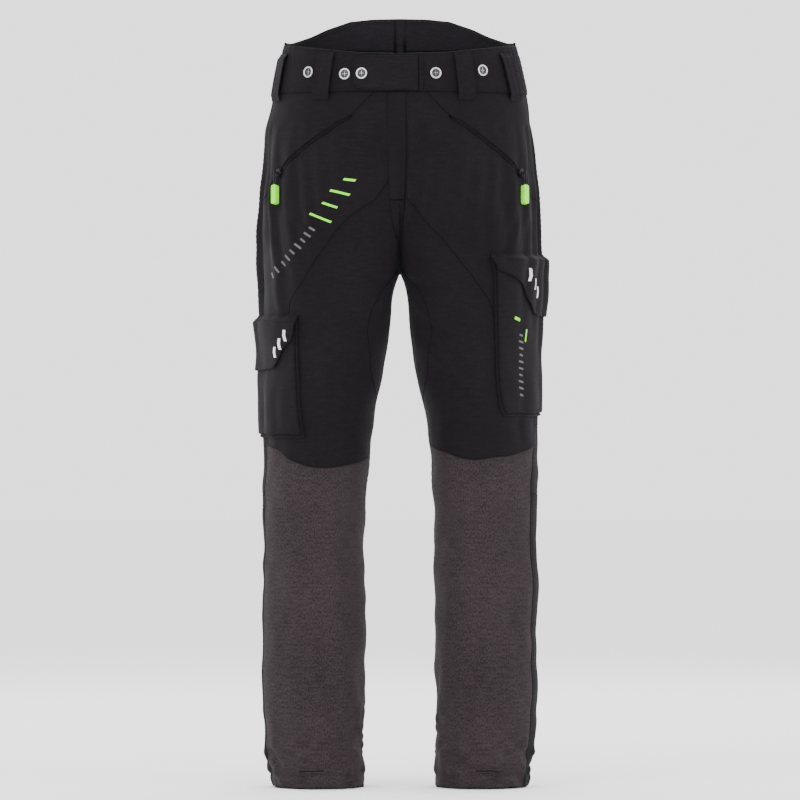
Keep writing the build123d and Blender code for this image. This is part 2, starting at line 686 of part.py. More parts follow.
def cargo_pockets():
    """Bellows pouches with their flaps."""
    made, loop_tapes = [], []
    for side, sign in SIDES.items():
        spec = CARGO[side]
        top, foot, front = spec["top"], spec["foot"], spec["front"]
        inset = tuple((x + POUCH_WALL, height) for x, height in front)
        roof = top + LEDGE_HIGH
        outline = closed(((REACH, roof),), front, ((REACH, foot),))
        room = closed(((REACH, roof),), inset, ((REACH, foot),))
        whole = prism(sign, outline, CARGO_BACK)
        above_floor = slab((-REACH, REACH), (foot + POUCH_WALL, top), (-REACH, CARGO_BACK - POUCH_WALL))
        hollow = piece("hollow", layer(sign, POUCH_ROOM), (prism(sign, room, CARGO_BACK), above_floor))
        mouth = slab((-REACH, REACH), (top - POUCH_MOUTH, top), EVERYWHERE_Y)
        open_front = piece("open", layer(sign, (LEDGE[0] - 1, LEDGE[1])), (mouth,))
        ledge = piece("ledge", layer(sign, LEDGE), (whole, slab((-REACH, REACH), (top, roof), EVERYWHERE_Y)))
        walls = piece("walls", layer(sign, POUCH), (whole,), (hollow, open_front))
        made.append(gathered(f"cargo_pouch_{side}", [walls, ledge]))

        edge = spec["flap"]
        flap_top = top - FLAP_EASE
        shape = closed(((REACH, flap_top),), ((edge[0][0] - FLAP_EASE, flap_top),), edge)
        made.append(piece(f"cargo_flap_{side}", layer(sign, FLAP), (prism(sign, shape, FLAP_BACK),)))
        bars = []
        for x, height in spec["bars"]:
            with BuildPart() as bar:
                with BuildSketch(Plane.XZ):
                    with Locations(Location((sign * x, level(height)), -sign * BAR_LEAN)):
                        Rectangle(*BAR_SIZE)
                extrude(amount=REACH)
            bars.append(piece("bar", layer(sign, REFLECTOR), (bar.part,)))
        made.append(gathered(f"flap_reflector_{side}", bars))
        outer_side = sorted((sign * OUTER_HALF, sign * REACH))
        zone = slab(outer_side, (top - HOOK_DROP[1], top - HOOK_DROP[0]), HOOK_Y)
        made.append(piece(f"flap_hook_tape_{side}", layer(sign, HOOK_TAPE), (zone,)))
        loop_tapes.append(piece("loop", layer(sign, LOOP_TAPE), (zone,)))
    made.append(gathered("pouch_loop_tapes", loop_tapes))
    return made


def zips():
    """Tapes and coils of the hand pockets, and their sliders."""
    ends = {sign: zip_arc(sign)[4] for sign in SIDES.values()}
    tapes = gathered("hand_zip_tapes", [along_zip(sign, 0, end, TAPE_BARS) for sign, end in ends.items()])
    coils = gathered("hand_zip_coils", [along_zip(sign, 0, end, COIL_BARS) for sign, end in ends.items()])
    return [tapes, coils] + hand_zip("left") + hand_zip("right")


def main():
    """Builds every sub-part and writes one STEP for each."""
    os.makedirs("parts", exist_ok=True)
    for part in shell_panels() + inner_layers() + waist() + fly() + cargo_pockets() + zips():
        export_step(part, f"parts/{part.label}.step")


if __name__ == "__main__":
    main()
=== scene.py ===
"""Protective trousers: sewn cloth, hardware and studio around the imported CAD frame."""

import math

import bpy
import numpy as np
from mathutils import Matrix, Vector, geometry


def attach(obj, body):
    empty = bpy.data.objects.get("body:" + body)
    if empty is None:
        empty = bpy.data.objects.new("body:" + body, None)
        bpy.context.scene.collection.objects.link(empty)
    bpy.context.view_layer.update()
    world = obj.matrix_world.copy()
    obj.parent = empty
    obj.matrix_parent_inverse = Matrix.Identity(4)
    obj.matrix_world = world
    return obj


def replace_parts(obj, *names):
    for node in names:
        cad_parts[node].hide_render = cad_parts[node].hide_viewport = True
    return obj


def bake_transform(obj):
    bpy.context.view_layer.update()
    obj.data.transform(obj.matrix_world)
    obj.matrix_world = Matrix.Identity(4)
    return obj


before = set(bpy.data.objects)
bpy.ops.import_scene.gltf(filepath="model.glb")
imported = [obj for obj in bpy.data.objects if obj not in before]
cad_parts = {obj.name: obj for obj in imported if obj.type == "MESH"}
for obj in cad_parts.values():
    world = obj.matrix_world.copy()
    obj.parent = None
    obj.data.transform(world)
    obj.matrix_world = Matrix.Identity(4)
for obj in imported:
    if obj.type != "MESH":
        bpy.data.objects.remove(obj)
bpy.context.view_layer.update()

# ---------------------------------------------------------------- the form, in millimetres
BELT_LINE = 1030.0
# height above the hem, centre x, centre y, half width, half depth of one side's elliptical section
STATIONS = np.array([
    (-20, 118, 8, 65.5, 69), (0, 119, 8, 67, 70), (60, 122, 8, 72, 74), (150, 122, 7, 73.5, 77),
    (240, 122, 6, 75.5, 80), (335, 121, 4, 74, 82.5), (430, 118, 2, 75, 86), (530, 113, 3, 81, 97),
    (640, 102, 6, 91, 114), (745, 100, 8, 100, 129), (800, 88, 9, 116, 137), (860, 52, 10, 151, 140),
    (930, 0, 9, 193, 130.5), (1000, 0, 4, 184, 123), (1056, 0, 1, 172, 115), (1125, 0, 2, 156, 108),
], float)
CROTCH = 745.0
SIGN = {"left": 1, "right": -1}
KNEE = (560.0, 350.0)  # heights that bound the knee: cloth wholly above the first rides on the trousers, wholly below the second on the lower leg
rng = np.random.default_rng(7)


def table_of_sections():
    heights = np.arange(-20.0, 1125.5, 1.0)
    s = STATIONS
    i = np.clip(np.searchsorted(s[:, 0], heights, side="right") - 1, 0, len(s) - 2)
    span = (s[i + 1, 0] - s[i, 0])[:, None]
    t = (heights - s[i, 0])[:, None] / span
    before, after = s[np.maximum(i - 1, 0)], s[np.minimum(i + 2, len(s) - 1)]
    low, high = s[i], s[i + 1]
    slope_low = (high - before) / (high[:, :1] - before[:, :1]) * span
    slope_high = (after - low) / (after[:, :1] - low[:, :1]) * span
    v = ((2 * t**3 - 3 * t**2 + 1) * low + (t**3 - 2 * t**2 + t) * slope_low
         + (3 * t**2 - 2 * t**3) * high + (t**3 - t**2) * slope_high)
    return heights, v[:, 1:]


HEIGHTS, SECTIONS = table_of_sections()


def section(h):
    return [np.interp(h, HEIGHTS, SECTIONS[:, k]) for k in range(4)]


def phi_end(h):
    """The angle from the outer side at which a side meets the centre line, or comes round the leg."""
    cx, _, a, _ = section(h)
    return np.where(h <= CROTCH, math.pi, np.arccos(np.clip(-cx / a, -1, 1)))


def phi_front(x, h):
    """The angle of a point of the front, from its distance from the centre line."""
    cx, _, a, _ = section(h)
    return -np.arccos(np.clip((x - cx) / a, -1, 1))


def phi_at_y(y, h):
    _, cy, _, b = section(h)
    return np.arcsin(np.clip((y - cy) / b, -1, 1))


def smooth(t):
    t = np.clip(t, 0, 1)
    return t * t * (3 - 2 * t)


# ---------------------------------------------------------------- drape
ROWS = np.array(sorted(set(list(np.arange(0, 745, 12.0)) + [745, 747, 750, 755, 762, 771, 782, 794, 806]
                           + list(np.arange(820, 1001, 12.0)) + [1002])))
COLUMNS = 22  # from the outer side to the front, and as many to the back
drape = {side: np.zeros((len(ROWS), 2 * COLUMNS + 1, 3)) for side in SIGN}


def drape_at(side, phi, h):
    """The draped cloth's displacement from the plain form, in millimetres, by cubic interpolation."""
    grid = drape[side]
    r = np.interp(h, ROWS, np.arange(len(ROWS)))
    c = COLUMNS * (1 + np.clip(phi / phi_end(h), -1, 1))
    out = np.zeros((len(r), 3))
    r0, c0 = np.floor(r).astype(int), np.floor(c).astype(int)
    fr, fc = r - r0, c - c0

    def weights(f):
        return [(-f + 2 * f**2 - f**3) / 2, (2 - 5 * f**2 + 3 * f**3) / 2, (f + 4 * f**2 - 3 * f**3) / 2,
                (f**3 - f**2) / 2]

    wr, wc = weights(fr), weights(fc)
    for i in range(4):
        ri = np.clip(r0 + i - 1, 0, len(ROWS) - 1)
        for j in range(4):
            cj = np.clip(c0 + j - 1, 0, 2 * COLUMNS)
            out += grid[ri, cj] * (wr[i] * wc[j])[:, None]
    return out


def plain(side, phi, h):
    cx, cy, a, b = section(h)
    return np.stack([SIGN[side] * (cx + a * np.cos(phi)), cy + b * np.sin(phi), h - BELT_LINE], 1)


# Folds pressed or dragged into the front: side, from and to as (distance from centre, height), height and
# half width of the ridge. A negative height is a crease.
FOLDS = [
    ("left", (22, 700), (96, 636), 2.6, 7), ("left", (30, 645), (118, 560), 2.2, 8),
    ("left", (10, 742), (66, 732), 3.0, 6), ("left", (60, 733), (112, 741), 2.2, 7),
    ("left", (18, 728), (70, 712), -1.8, 5), ("left", (60, 600), (150, 545), 1.2, 9),
    ("right", (20, 716), (70, 676), 1.6, 8), ("right", (52, 640), (110, 600), 1.0, 9),
    ("right", (60, 560), (140, 540), 1.0, 9), ("right", (14, 742), (48, 748), 1.8, 6),
    ("left", (58, 402), (150, 384), 1.6, 8), ("left", (70, 350), (170, 372), 1.3, 9),
    ("left", (60, 300), (140, 276), 1.5, 8), ("left", (90, 236), (185, 252), 1.2, 9),
    ("left", (60, 180), (150, 196), 1.3, 8), ("left", (80, 120), (180, 108), 1.1, 8),
    ("left", (52, 52), (120, 60), 1.2, 6), ("left", (110, 42), (186, 34), 1.4, 6),
    ("right", (60, 420), (160, 402), 1.4, 8), ("right", (58, 372), (120, 352), 1.5, 8),
    ("right", (100, 318), (186, 332), 1.4, 9), ("right", (58, 270), (150, 254), 1.2, 8),
    ("right", (90, 212), (190, 226), 1.3, 9), ("right", (56, 150), (140, 164), 1.3, 8),
    ("right", (100, 96), (188, 84), 1.2, 8), ("right", (60, 46), (130, 40), 1.3, 6),
    ("right", (120, 52), (186, 60), 1.2, 6),
]


def folds_at(side, phi, h, p):
    """How far the folds lift the cloth."""
    x, out = np.abs(p[:, 0]), np.zeros(len(p))
    front = smooth((-np.sin(phi) + 0.15) / 0.3)
    for which, start, end, tall, wide in FOLDS:
        if which != side:
            continue
        s, e = np.array(start, float), np.array(end, float)
        run = e - s
        q = np.stack([x, h], 1) - s
        t = (q @ run) / (run @ run)
        along = np.clip(t, 0, 1)
        gap = np.hypot(*(q - along[:, None] * run).T)
        bow = 1.9 * tall * np.exp(-((gap / wide) ** 2)) * np.sin(np.pi * (0.08 + 0.84 * along))
        out += bow * front
    return out


WAVES = [(rng.normal(size=3) * s, rng.uniform(0, 6.28), amp) for s, amp, n in
         ((0.018, 0.55, 7), (0.045, 0.30, 9), (0.11, 0.12, 10)) for _ in range(n)]


CREASES = [(np.array([math.cos(t), math.sin(t) * 0.3, 2.6 + 0.5 * math.sin(5 * t)]) * k, 1.7 * t + 9 * k, amp)
           for t in (-0.7, -0.25, 0.3, 0.8) for k, amp in ((0.021, 0.34), (0.034, 0.22), (0.055, 0.14))]


def ripples(p):
    """Gentle unevenness of worn cloth, and slack creases across the lower legs."""
    out, across = np.zeros(len(p)), np.zeros(len(p))
    for k, phase, amp in WAVES:
        out += amp * np.sin(p @ k + phase)
    for k, phase, amp in CREASES:
        across += amp * np.sin(p @ k + phase)
    return out + across * smooth((KNEE[0] - BELT_LINE - p[:, 2]) / 60)


def surface(side, phi, h, lift=0.0, detail=True):
    """Points of the draped cloth, raised by lift along its normal, with those normals."""
    def at(ph, hh):
        p = plain(side, ph, hh) + drape_at(side, ph, hh)
        if detail:
            n = plain(side, ph, hh) - np.stack([SIGN[side] * section(hh)[0], section(hh)[1],
                                                hh - BELT_LINE], 1)
            n /= np.maximum(np.linalg.norm(n, axis=1, keepdims=True), 1e-6)
            calm = 1 - smooth((hh - 960) / 40)
            off_centre = smooth((phi_end(hh) - np.abs(ph)) * 110 / 16)
            calm = calm * (1 - (1 - off_centre) * smooth((hh - 730) / 15))
            p = p + n * ((folds_at(side, ph, hh, p) + ripples(p)) * calm)[:, None]
        return p

    phi, h = np.asarray(phi, float), np.asarray(h, float)
    p = at(phi, h)
    d_phi = at(phi + 0.012, h) - at(phi - 0.012, h)
    d_h = at(phi, h + 1.2) - at(phi, h - 1.2)
    n = np.cross(d_phi, d_h) * SIGN[side]
    n /= np.maximum(np.linalg.norm(n, axis=1, keepdims=True), 1e-9)
    return p + n * np.reshape(lift, (-1, 1)), n


def simulate():
    """Hangs the cloth from the waistband over the wearer's form, a little too long, so that it gathers."""
    grids, points = {}, []
    h, c = np.meshgrid(ROWS, np.arange(-COLUMNS, COLUMNS + 1) / COLUMNS, indexing="ij")
    for side in SIGN:
        flat_h, phi = h.ravel(), (c * phi_end(h)).ravel()
        points.append(plain(side, phi, flat_h))
    every = np.concatenate(points)
    keys, back = np.unique(np.round(every * 4).astype(int), axis=0, return_inverse=True)
    back = back.ravel()
    merged = np.zeros((len(keys), 3))
    merged[back] = every
    shape = h.shape
    per = shape[0] * shape[1]
    faces = []
    for k, side in enumerate(SIGN):
        ids = back[k * per:(k + 1) * per].reshape(shape)
        grids[side] = ids
        for i in range(shape[0] - 1):
            for j in range(shape[1] - 1):
                loop = [ids[i, j], ids[i, j + 1], ids[i + 1, j + 1], ids[i + 1, j]]
                loop = [v for n, v in enumerate(loop) if v != loop[n - 1]]
                if len(set(loop)) > 2:
                    faces.append(loop if SIGN[side] > 0 else loop[::-1])

    def mesh_object(name, co, polygons):
        mesh = bpy.data.meshes.new(name)
        mesh.from_pydata((co / 1000).tolist(), [], polygons)
        made = bpy.data.objects.new(name, mesh)
        bpy.context.scene.collection.objects.link(made)
        return made

    cloth = mesh_object("drape", merged, faces)
    centre = merged.copy()
    for side in SIGN:
        ids = grids[side]
        cx, cy, _, _ = section(h)
        centre[ids.ravel()] = np.stack([(SIGN[side] * cx).ravel(), cy.ravel(), (h - BELT_LINE).ravel()], 1)
    body = mesh_object("wearer", merged + (centre - merged) * 0.075, faces)
    pins = cloth.vertex_groups.new(name="pins")
    height = merged[:, 2] + BELT_LINE
    pins.add([int(i) for i in np.nonzero(height > 955)[0]], 1.0, "REPLACE")
    pins.add([int(i) for i in np.nonzero(height < 1)[0]], 0.7, "REPLACE")
    body.modifiers.new("hit", "COLLISION")
    body.collision.thickness_outer = 0.002
    body.collision.cloth_friction = 12
    mod = cloth.modifiers.new("cloth", "CLOTH")
    s = mod.settings
    s.quality = 6
    s.mass = 0.35
    s.tension_stiffness = s.compression_stiffness = 22
    s.shear_stiffness = 8
    s.bending_stiffness = 0.9
    s.air_damping = 2
    s.vertex_group_mass = "pins"
    s.shrink_min = -0.022
    s.use_dynamic_mesh = False
    mod.collision_settings.distance_min = 0.002
    mod.collision_settings.use_self_collision = False
    scene = bpy.context.scene
    scene.frame_start, scene.frame_end = 1, 45
    mod.point_cache.frame_start, mod.point_cache.frame_end = 1, 45
    for f in range(1, 46):
        scene.frame_set(f)
    done = cloth.evaluated_get(bpy.context.evaluated_depsgraph_get())
    co = np.zeros(len(merged) * 3)
    done.data.vertices.foreach_get("co", co)
    moved = co.reshape(-1, 3) * 1000 - merged
    scene.frame_set(1)
    for side in SIGN:
        drape[side] = moved[grids[side].ravel()].reshape(*shape, 3)
        # each row keeps its own height and girth, as the cloth was cut for them; only its unevenness is kept
        out = points[list(SIGN).index(side)].reshape(*shape, 3) - np.stack(
            [SIGN[side] * section(h)[0], section(h)[1], h - BELT_LINE], 2)
        out /= np.maximum(np.linalg.norm(out, axis=2, keepdims=True), 1e-9)
        push = (drape[side] * out).sum(2)
        oval = np.cos(2 * c * phi_end(h))
        swell = push.mean(1)[:, None] + 2 * (push * oval).mean(1)[:, None] * oval
        drape[side] -= out * (swell * smooth((CROTCH + 25 - h) / 50))[:, :, None]
        drape[side][:, :, 2] -= drape[side][:, :, 2].mean(1)[:, None]
        fade = 1 - smooth((h - 940) / 50)
        drape[side] *= fade[:, :, None]
    for o in (cloth, body):
        mesh = o.data
        bpy.data.objects.remove(o)
        bpy.data.meshes.remove(mesh)


simulate()


# ---------------------------------------------------------------- materials
def node_material(name):
    mat = bpy.data.materials.new(name)
    mat.use_nodes = True
    tree = mat.node_tree
    return mat, tree, tree.nodes["Principled BSDF"]


def cloth_material(name, low, high, melange=0.0, weave=0.00042, sheen=0.015, rough=0.86):
    """Woven cloth in the seams' own coordinates: crossing yarns, lighter streaks, and painted shade that
    darkens each piece's edges as if shadowed in its seams.
    """
    mat, tree, shader = node_material(name)
    nodes, links = tree.nodes, tree.links
    uv = nodes.new("ShaderNodeUVMap")
    uv.uv_map = "yarn"

    def noise(scale, detail=2.0, stretch=None):
        n = nodes.new("ShaderNodeTexNoise")
        n.inputs["Scale"].default_value = scale
        n.inputs["Detail"].default_value = detail
        source = uv.outputs["UV"]
        if stretch:
            m = nodes.new("ShaderNodeMapping")
            m.inputs["Scale"].default_value = stretch
            links.new(source, m.inputs["Vector"])
            source = m.outputs["Vector"]
        links.new(source, n.inputs["Vector"])
        return n.outputs["Fac"]

    def wave(direction, scale):
        w = nodes.new("ShaderNodeTexWave")
        w.bands_direction = direction
        w.wave_profile = "SIN"
        w.inputs["Scale"].default_value = scale
        w.inputs["Distortion"].default_value = 0.6
        w.inputs["Detail"].default_value = 1.0
        links.new(uv.outputs["UV"], w.inputs["Vector"])
        return w.outputs["Fac"]

    def maths(kind, a, b):
        m = nodes.new("ShaderNodeMath")
        m.operation = kind
        for socket, value in zip(m.inputs, (a, b)):
            if isinstance(value, (int, float)):
                socket.default_value = value
            else:
                links.new(value, socket)
        return m.outputs[0]

    yarn = maths("MULTIPLY", wave("X", 0.314 / weave), wave("Y", 0.314 / weave))
    fleck = noise(520.0 if melange else 620.0, 3.0, (1.0, 0.6, 1.0))
    streak = noise(170.0, 4.0, (0.35, 1.6, 1.0))
    broad = noise(9.0, 3.0)
    mix = maths("ADD", maths("MULTIPLY", fleck, 0.55 + 0.2 * (melange > 0)), maths("MULTIPLY", streak, 0.3))
    mix = maths("ADD", mix, maths("MULTIPLY", broad, 0.22))
    ramp = nodes.new("ShaderNodeValToRGB")
    ramp.color_ramp.elements[0].position = 0.46 - 0.03 * melange
    ramp.color_ramp.elements[1].position = 0.62 + 0.21 * melange
    ramp.color_ramp.elements[0].color = (*low, 1)
    ramp.color_ramp.elements[1].color = (*high, 1)
    links.new(mix, ramp.inputs["Fac"])
    # painted seam shade: a per-point attribute pulls the colour towards a quarter of the low colour at each
    # piece's edge, standing in for shadow in the seams
    edge = nodes.new("ShaderNodeAttribute")
    edge.attribute_name = "wear"
    painted_shade = nodes.new("ShaderNodeMix")
    painted_shade.data_type = "RGBA"
    painted_shade.inputs["B"].default_value = (*[0.25 * v for v in low], 1)
    links.new(edge.outputs["Fac"], painted_shade.inputs["Factor"])
    links.new(ramp.outputs["Color"], painted_shade.inputs["A"])
    links.new(painted_shade.outputs["Result"], shader.inputs["Base Color"])
    bump = nodes.new("ShaderNodeBump")
    bump.inputs["Strength"].default_value = 0.55
    bump.inputs["Distance"].default_value = 0.0003
    links.new(maths("ADD", maths("MULTIPLY", yarn, 0.8), maths("MULTIPLY", streak, 0.5)),
              bump.inputs["Height"])
    links.new(bump.outputs["Normal"], shader.inputs["Normal"])
    shader.inputs["Roughness"].default_value = rough
    shader.inputs["Specular IOR Level"].default_value = 0.12
    shader.inputs["Sheen Weight"].default_value = sheen
    shader.inputs["Sheen Roughness"].default_value = 0.45
    return mat


def solid_material(name, colour, rough, metal=0.0, fleck=0.0, scale=900.0, sheen=0.0):
    """A plain material whose colour varies slightly, with a faint bump; its roughness is one value."""
    mat, tree, shader = node_material(name)
    nodes, links = tree.nodes, tree.links
    where = nodes.new("ShaderNodeTexCoord")
    n = nodes.new("ShaderNodeTexNoise")
    n.inputs["Scale"].default_value = scale
    n.inputs["Detail"].default_value = 3.0
    links.new(where.outputs["Object"], n.inputs["Vector"])
    ramp = nodes.new("ShaderNodeValToRGB")
    ramp.color_ramp.elements[0].position, ramp.color_ramp.elements[1].position = 0.35, 0.65
    ramp.color_ramp.elements[0].color = (*[v * (1 - fleck) for v in colour], 1)
    ramp.color_ramp.elements[1].color = (*[min(1, v * (1 + fleck)) for v in colour], 1)
    links.new(n.outputs["Fac"], ramp.inputs["Fac"])
    links.new(ramp.outputs["Color"], shader.inputs["Base Color"])
    bump = nodes.new("ShaderNodeBump")
    bump.inputs["Strength"].default_value = 0.15
    bump.inputs["Distance"].default_value = 0.0001
    links.new(n.outputs["Fac"], bump.inputs["Height"])
    links.new(bump.outputs["Normal"], shader.inputs["Normal"])
    shader.inputs["Roughness"].default_value = rough
    shader.inputs["Metallic"].default_value = metal
    shader.inputs["Specular IOR Level"].default_value = 0.12 if max(colour) < 0.05 else 0.4
    shader.inputs["Sheen Weight"].default_value = sheen
    return mat


BLACK = cloth_material("black_cloth", (0.0026, 0.0017, 0.0027), (0.0058, 0.0040, 0.0061))
PANEL = cloth_material("black_pocket_cloth", (0.0030, 0.0020, 0.0031), (0.0065, 0.0046, 0.0068), weave=0.0006)
GREY = cloth_material("heather_cloth", (0.0056, 0.0040, 0.0047), (0.0345, 0.0256, 0.0284), melange=1.0)
LINER = cloth_material("lining_cloth", (0.0052, 0.0042, 0.0060), (0.0105, 0.0087, 0.0122), weave=0.0009,
                       rough=0.7)
THREAD = solid_material("thread", (0.0034, 0.0026, 0.0034), 0.7, fleck=0.3)
TAPE = cloth_material("woven_tape", (0.0040, 0.0031, 0.0042), (0.0084, 0.0068, 0.0086), weave=0.0008)
CHROME = solid_material("nickel", (0.42, 0.42, 0.45), 0.25, metal=1.0, fleck=0.04)
DARK_METAL = solid_material("dark_metal", (0.035, 0.035, 0.038), 0.38, metal=0.8, fleck=0.15)
PLASTIC = solid_material("coil_plastic", (0.005, 0.005, 0.0055), 0.45, fleck=0.2)
GREEN = solid_material("green_rubber", (0.17, 0.72, 0.002), 0.5, fleck=0.05, scale=300.0)
GREEN_PRINT = solid_material("green_print", (0.16, 0.68, 0.003), 0.6, fleck=0.08)
GREY_PRINT = solid_material("grey_print", (0.060, 0.055, 0.064), 0.6, fleck=0.08)
SILVER = solid_material("reflective_film", (0.62, 0.60, 0.64), 0.32, metal=0.35, fleck=0.06)
PAD = solid_material("pad_cloth", (0.62, 0.60, 0.52), 0.9, fleck=0.12, sheen=0.3)


# ---------------------------------------------------------------- cutting cloth
def radius_at(h):
    _, _, a, b = section(h)
    return np.sqrt((a * a + b * b) / 2)


def to_flat(phi, h):
    """Angles and heights as nearly true distances, in which the pieces are cut."""
    return np.stack([np.asarray(phi) * radius_at(np.asarray(h, float)), np.asarray(h, float)], 1)


def curve(points, step=3.0):
    """A smooth line through points of the flat cloth, in even steps. Two points make a straight one."""
    p = np.array(points, float)
    if len(p) > 2:
        ends = np.vstack([2 * p[0] - p[1], p, 2 * p[-1] - p[-2]])
        fine = []
        t = np.linspace(0, 1, 13)[:-1, None]
        for k in range(1, len(ends) - 2):
            a, b, c, d = ends[k - 1:k + 3]
            fine.append(0.5 * (2 * b + (c - a) * t + (2 * a - 5 * b + 4 * c - d) * t**2
                               + (3 * b - a - 3 * c + d) * t**3))
        p = np.vstack(fine + [p[-1:]])
    run = np.concatenate([[0], np.cumsum(np.hypot(*np.diff(p, axis=0).T))])
    count = max(2, int(round(run[-1] / step)) + 1)
    at = np.linspace(0, run[-1], count)
    return np.stack([np.interp(at, run, p[:, 0]), np.interp(at, run, p[:, 1])], 1)


def ring(*lines, step=3.0):
    """Lines joined end to end into a closed outline; a gap is closed by a straight line."""
    out = []
    for k, line in enumerate(lines):
        line = np.array(line, float)
        out.append(line)
        following = np.array(lines[(k + 1) % len(lines)], float)[0]
        if np.hypot(*(line[-1] - following)) > 0.5 * step:
            out.append(curve([line[-1], following], step)[1:-1])
    p = np.vstack(out)
    keep = np.hypot(*(p - np.roll(p, 1, axis=0)).T) > 0.25 * step
    return p[keep]


def polygon(corners, step):
    """A closed outline with straight sides."""
    return ring(*[curve([a, b], step) for a, b in zip(corners, corners[1:] + corners[:1])], step=step)


def inside(points, outline):
    x, y = points.T
    hit = np.zeros(len(points), bool)
    for (x0, y0), (x1, y1) in zip(outline, np.roll(outline, -1, axis=0)):
        cross = (y0 > y) != (y1 > y)
        if cross.any():
            hit[cross] ^= x[cross] < (x1 - x0) * (y[cross] - y0) / (y1 - y0) + x0
    return hit


def gap_to(points, a, b):
    """Distance of each point from the nearest of the segments from a to b."""
    out = np.full(len(points), 1e9)
    for k in range(0, len(points), 4000):
        p = points[k:k + 4000, None]
        run = (b - a)[None]
        t = np.clip(((p - a[None]) * run).sum(2) / np.maximum((run**2).sum(2), 1e-12), 0, 1)
        out[k:k + 4000] = np.hypot(*np.moveaxis(p - (a[None] + t[..., None] * run), 2, 0)).min(1)
    return out


def cut(outline, step, rings):
    """Triangles of a piece of cloth, with rows of points that follow its edge, and each point's gap to it."""
    area = 0.5 * np.sum(outline[:, 0] * np.roll(outline[:, 1], -1) - np.roll(outline[:, 0], -1)
                        * outline[:, 1])
    if area < 0:
        outline = outline[::-1]
    a, b = outline, np.roll(outline, -1, axis=0)
    along = (b - a) / np.maximum(np.hypot(*(b - a).T), 1e-9)[:, None]
    inward = np.stack([-along[:, 1], along[:, 0]], 1)
    inward = inward + np.roll(inward, 1, axis=0)
    inward /= np.maximum(np.hypot(*inward.T), 1e-9)[:, None]
    points = []
    for depth in rings:
        p = a + inward * depth
        p = p[inside(p, outline)]
        points.append(p[gap_to(p, a, b) > 0.93 * depth])
    low, high = outline.min(0), outline.max(0)
    rise = step * 0.866
    ys = np.arange(low[1], high[1] + rise, rise)
    grid = np.concatenate([np.stack([np.arange(low[0], high[0] + step, step) + (step / 2) * (k % 2),
                                     np.full(len(np.arange(low[0], high[0] + step, step)), y)], 1)
                           for k, y in enumerate(ys)])
    grid = grid[inside(grid, outline)]
    if len(grid):
        grid = grid[gap_to(grid, a, b) > (rings[-1] if len(rings) else 0) + 0.55 * step]
    points.append(grid)
    everything = np.vstack([outline] + points)
    n = len(outline)
    edges = [(i, (i + 1) % n) for i in range(n)]
    co, _, tris, _, _, _ = geometry.delaunay_2d_cdt([Vector(p) for p in everything], edges, [], 1, 1e-5)
    co = np.array([v[:] for v in co], float)
    return co, [list(t) for t in tris], gap_to(co, a, b)


class Maker:
    """Gathers patches of cloth into one mesh."""

    def __init__(self, name, material, side="left"):
        self.name, self.material, self.side = name, material, side
        self.co, self.faces, self.uv, self.wear, self.area = [], [], [], [], 0.0

    def add(self, co, faces, uv, wear):
        base = sum(len(c) for c in self.co)
        self.co.append(co)
        self.uv.append(uv)
        self.wear.append(wear)
        self.faces += [[base + i for i in f] for f in faces]

    def patch(self, outline, lift=0.0, thick=1.2, step=4.0, edge=1.6, shape=None, side=None, detail=True,
              pucker=0.35, rings=(0.6, 1.5, 3.0), back=True):
        """One piece: lift is its inner face's height over the form, and its outer edge is rounded off."""
        side = side or self.side
        flat, tris, d = cut(np.array(outline, float), step, rings)
        h = flat[:, 1]
        phi = flat[:, 0] / radius_at(h)
        extra = shape(flat, d) if shape else np.zeros(len(flat))
        fall = np.clip(1 - d / edge, 0, 1) if edge > 0 else np.zeros(len(flat))
        rounded = thick * 0.55 * (1 - np.sqrt(np.clip(1 - fall**2, 0, 1)))
        wobble = pucker * np.exp(-d / 4.5) * (1 - np.exp(-d / 0.8)) * np.sin(
            0.55 * flat[:, 0] + 1.3 * np.sin(0.21 * h)) * np.sin(0.52 * h + np.sin(0.17 * flat[:, 0]))
        top, _ = surface(side, phi, h, lift + thick + extra - rounded + wobble, detail)
        # painted seam shade, strongest at the piece's edge on its outer face; the inner face gets none
        wear = np.exp(-d / 1.2) * 0.8
        uv = flat / 1000
        turn = (SIGN[side] > 0) == (thick > 0)
        self.add(top, [t if turn else t[::-1] for t in tris], uv, wear)
        a, b, c = (top[[t[k] for t in tris]] for k in range(3))
        self.area += float(np.linalg.norm(np.cross(b - a, c - a), axis=1).sum() / 2) * 1e-6
        if not back:
            return
        low, _ = surface(side, phi, h, lift + extra, detail)
        base = sum(len(x) for x in self.co)
        self.add(low, [t[::-1] if turn else t for t in tris], uv, wear * 0)
        sides = {pair: True for t in tris for pair in zip(t, t[1:] + t[:1])}
        first = base - len(top)
        walls = [[first + j, first + i, base + i, base + j] for i, j in sides if (j, i) not in sides]
        walls = [w if turn else w[::-1] for w in walls]
        self.faces += walls

    def make(self, smooth_by=50):
        mesh = bpy.data.meshes.new(self.name)
        co, uv, wear = np.vstack(self.co) / 1000, np.vstack(self.uv), np.concatenate(self.wear)
        mesh.from_pydata(co.tolist(), [], self.faces)
        mesh.validate()
        layer = mesh.uv_layers.new(name="yarn")
        corner = np.zeros(len(mesh.loops), np.int32)
        mesh.loops.foreach_get("vertex_index", corner)
        layer.data.foreach_set("uv", uv[corner].astype(np.float32).ravel())
        # the painted seam shade is stored per point, for the cloth materials to darken edges with
        painted_shade = mesh.attributes.new("wear", "FLOAT", "POINT")
        painted_shade.data.foreach_set("value", wear.astype(np.float32))
        mesh.materials.append(self.material)
        mesh.shade_smooth()
        made = bpy.data.objects.new(self.name, mesh)
        bpy.context.scene.collection.objects.link(made)
        made.data.set_sharp_from_angle(angle=math.radians(smooth_by))
        return made


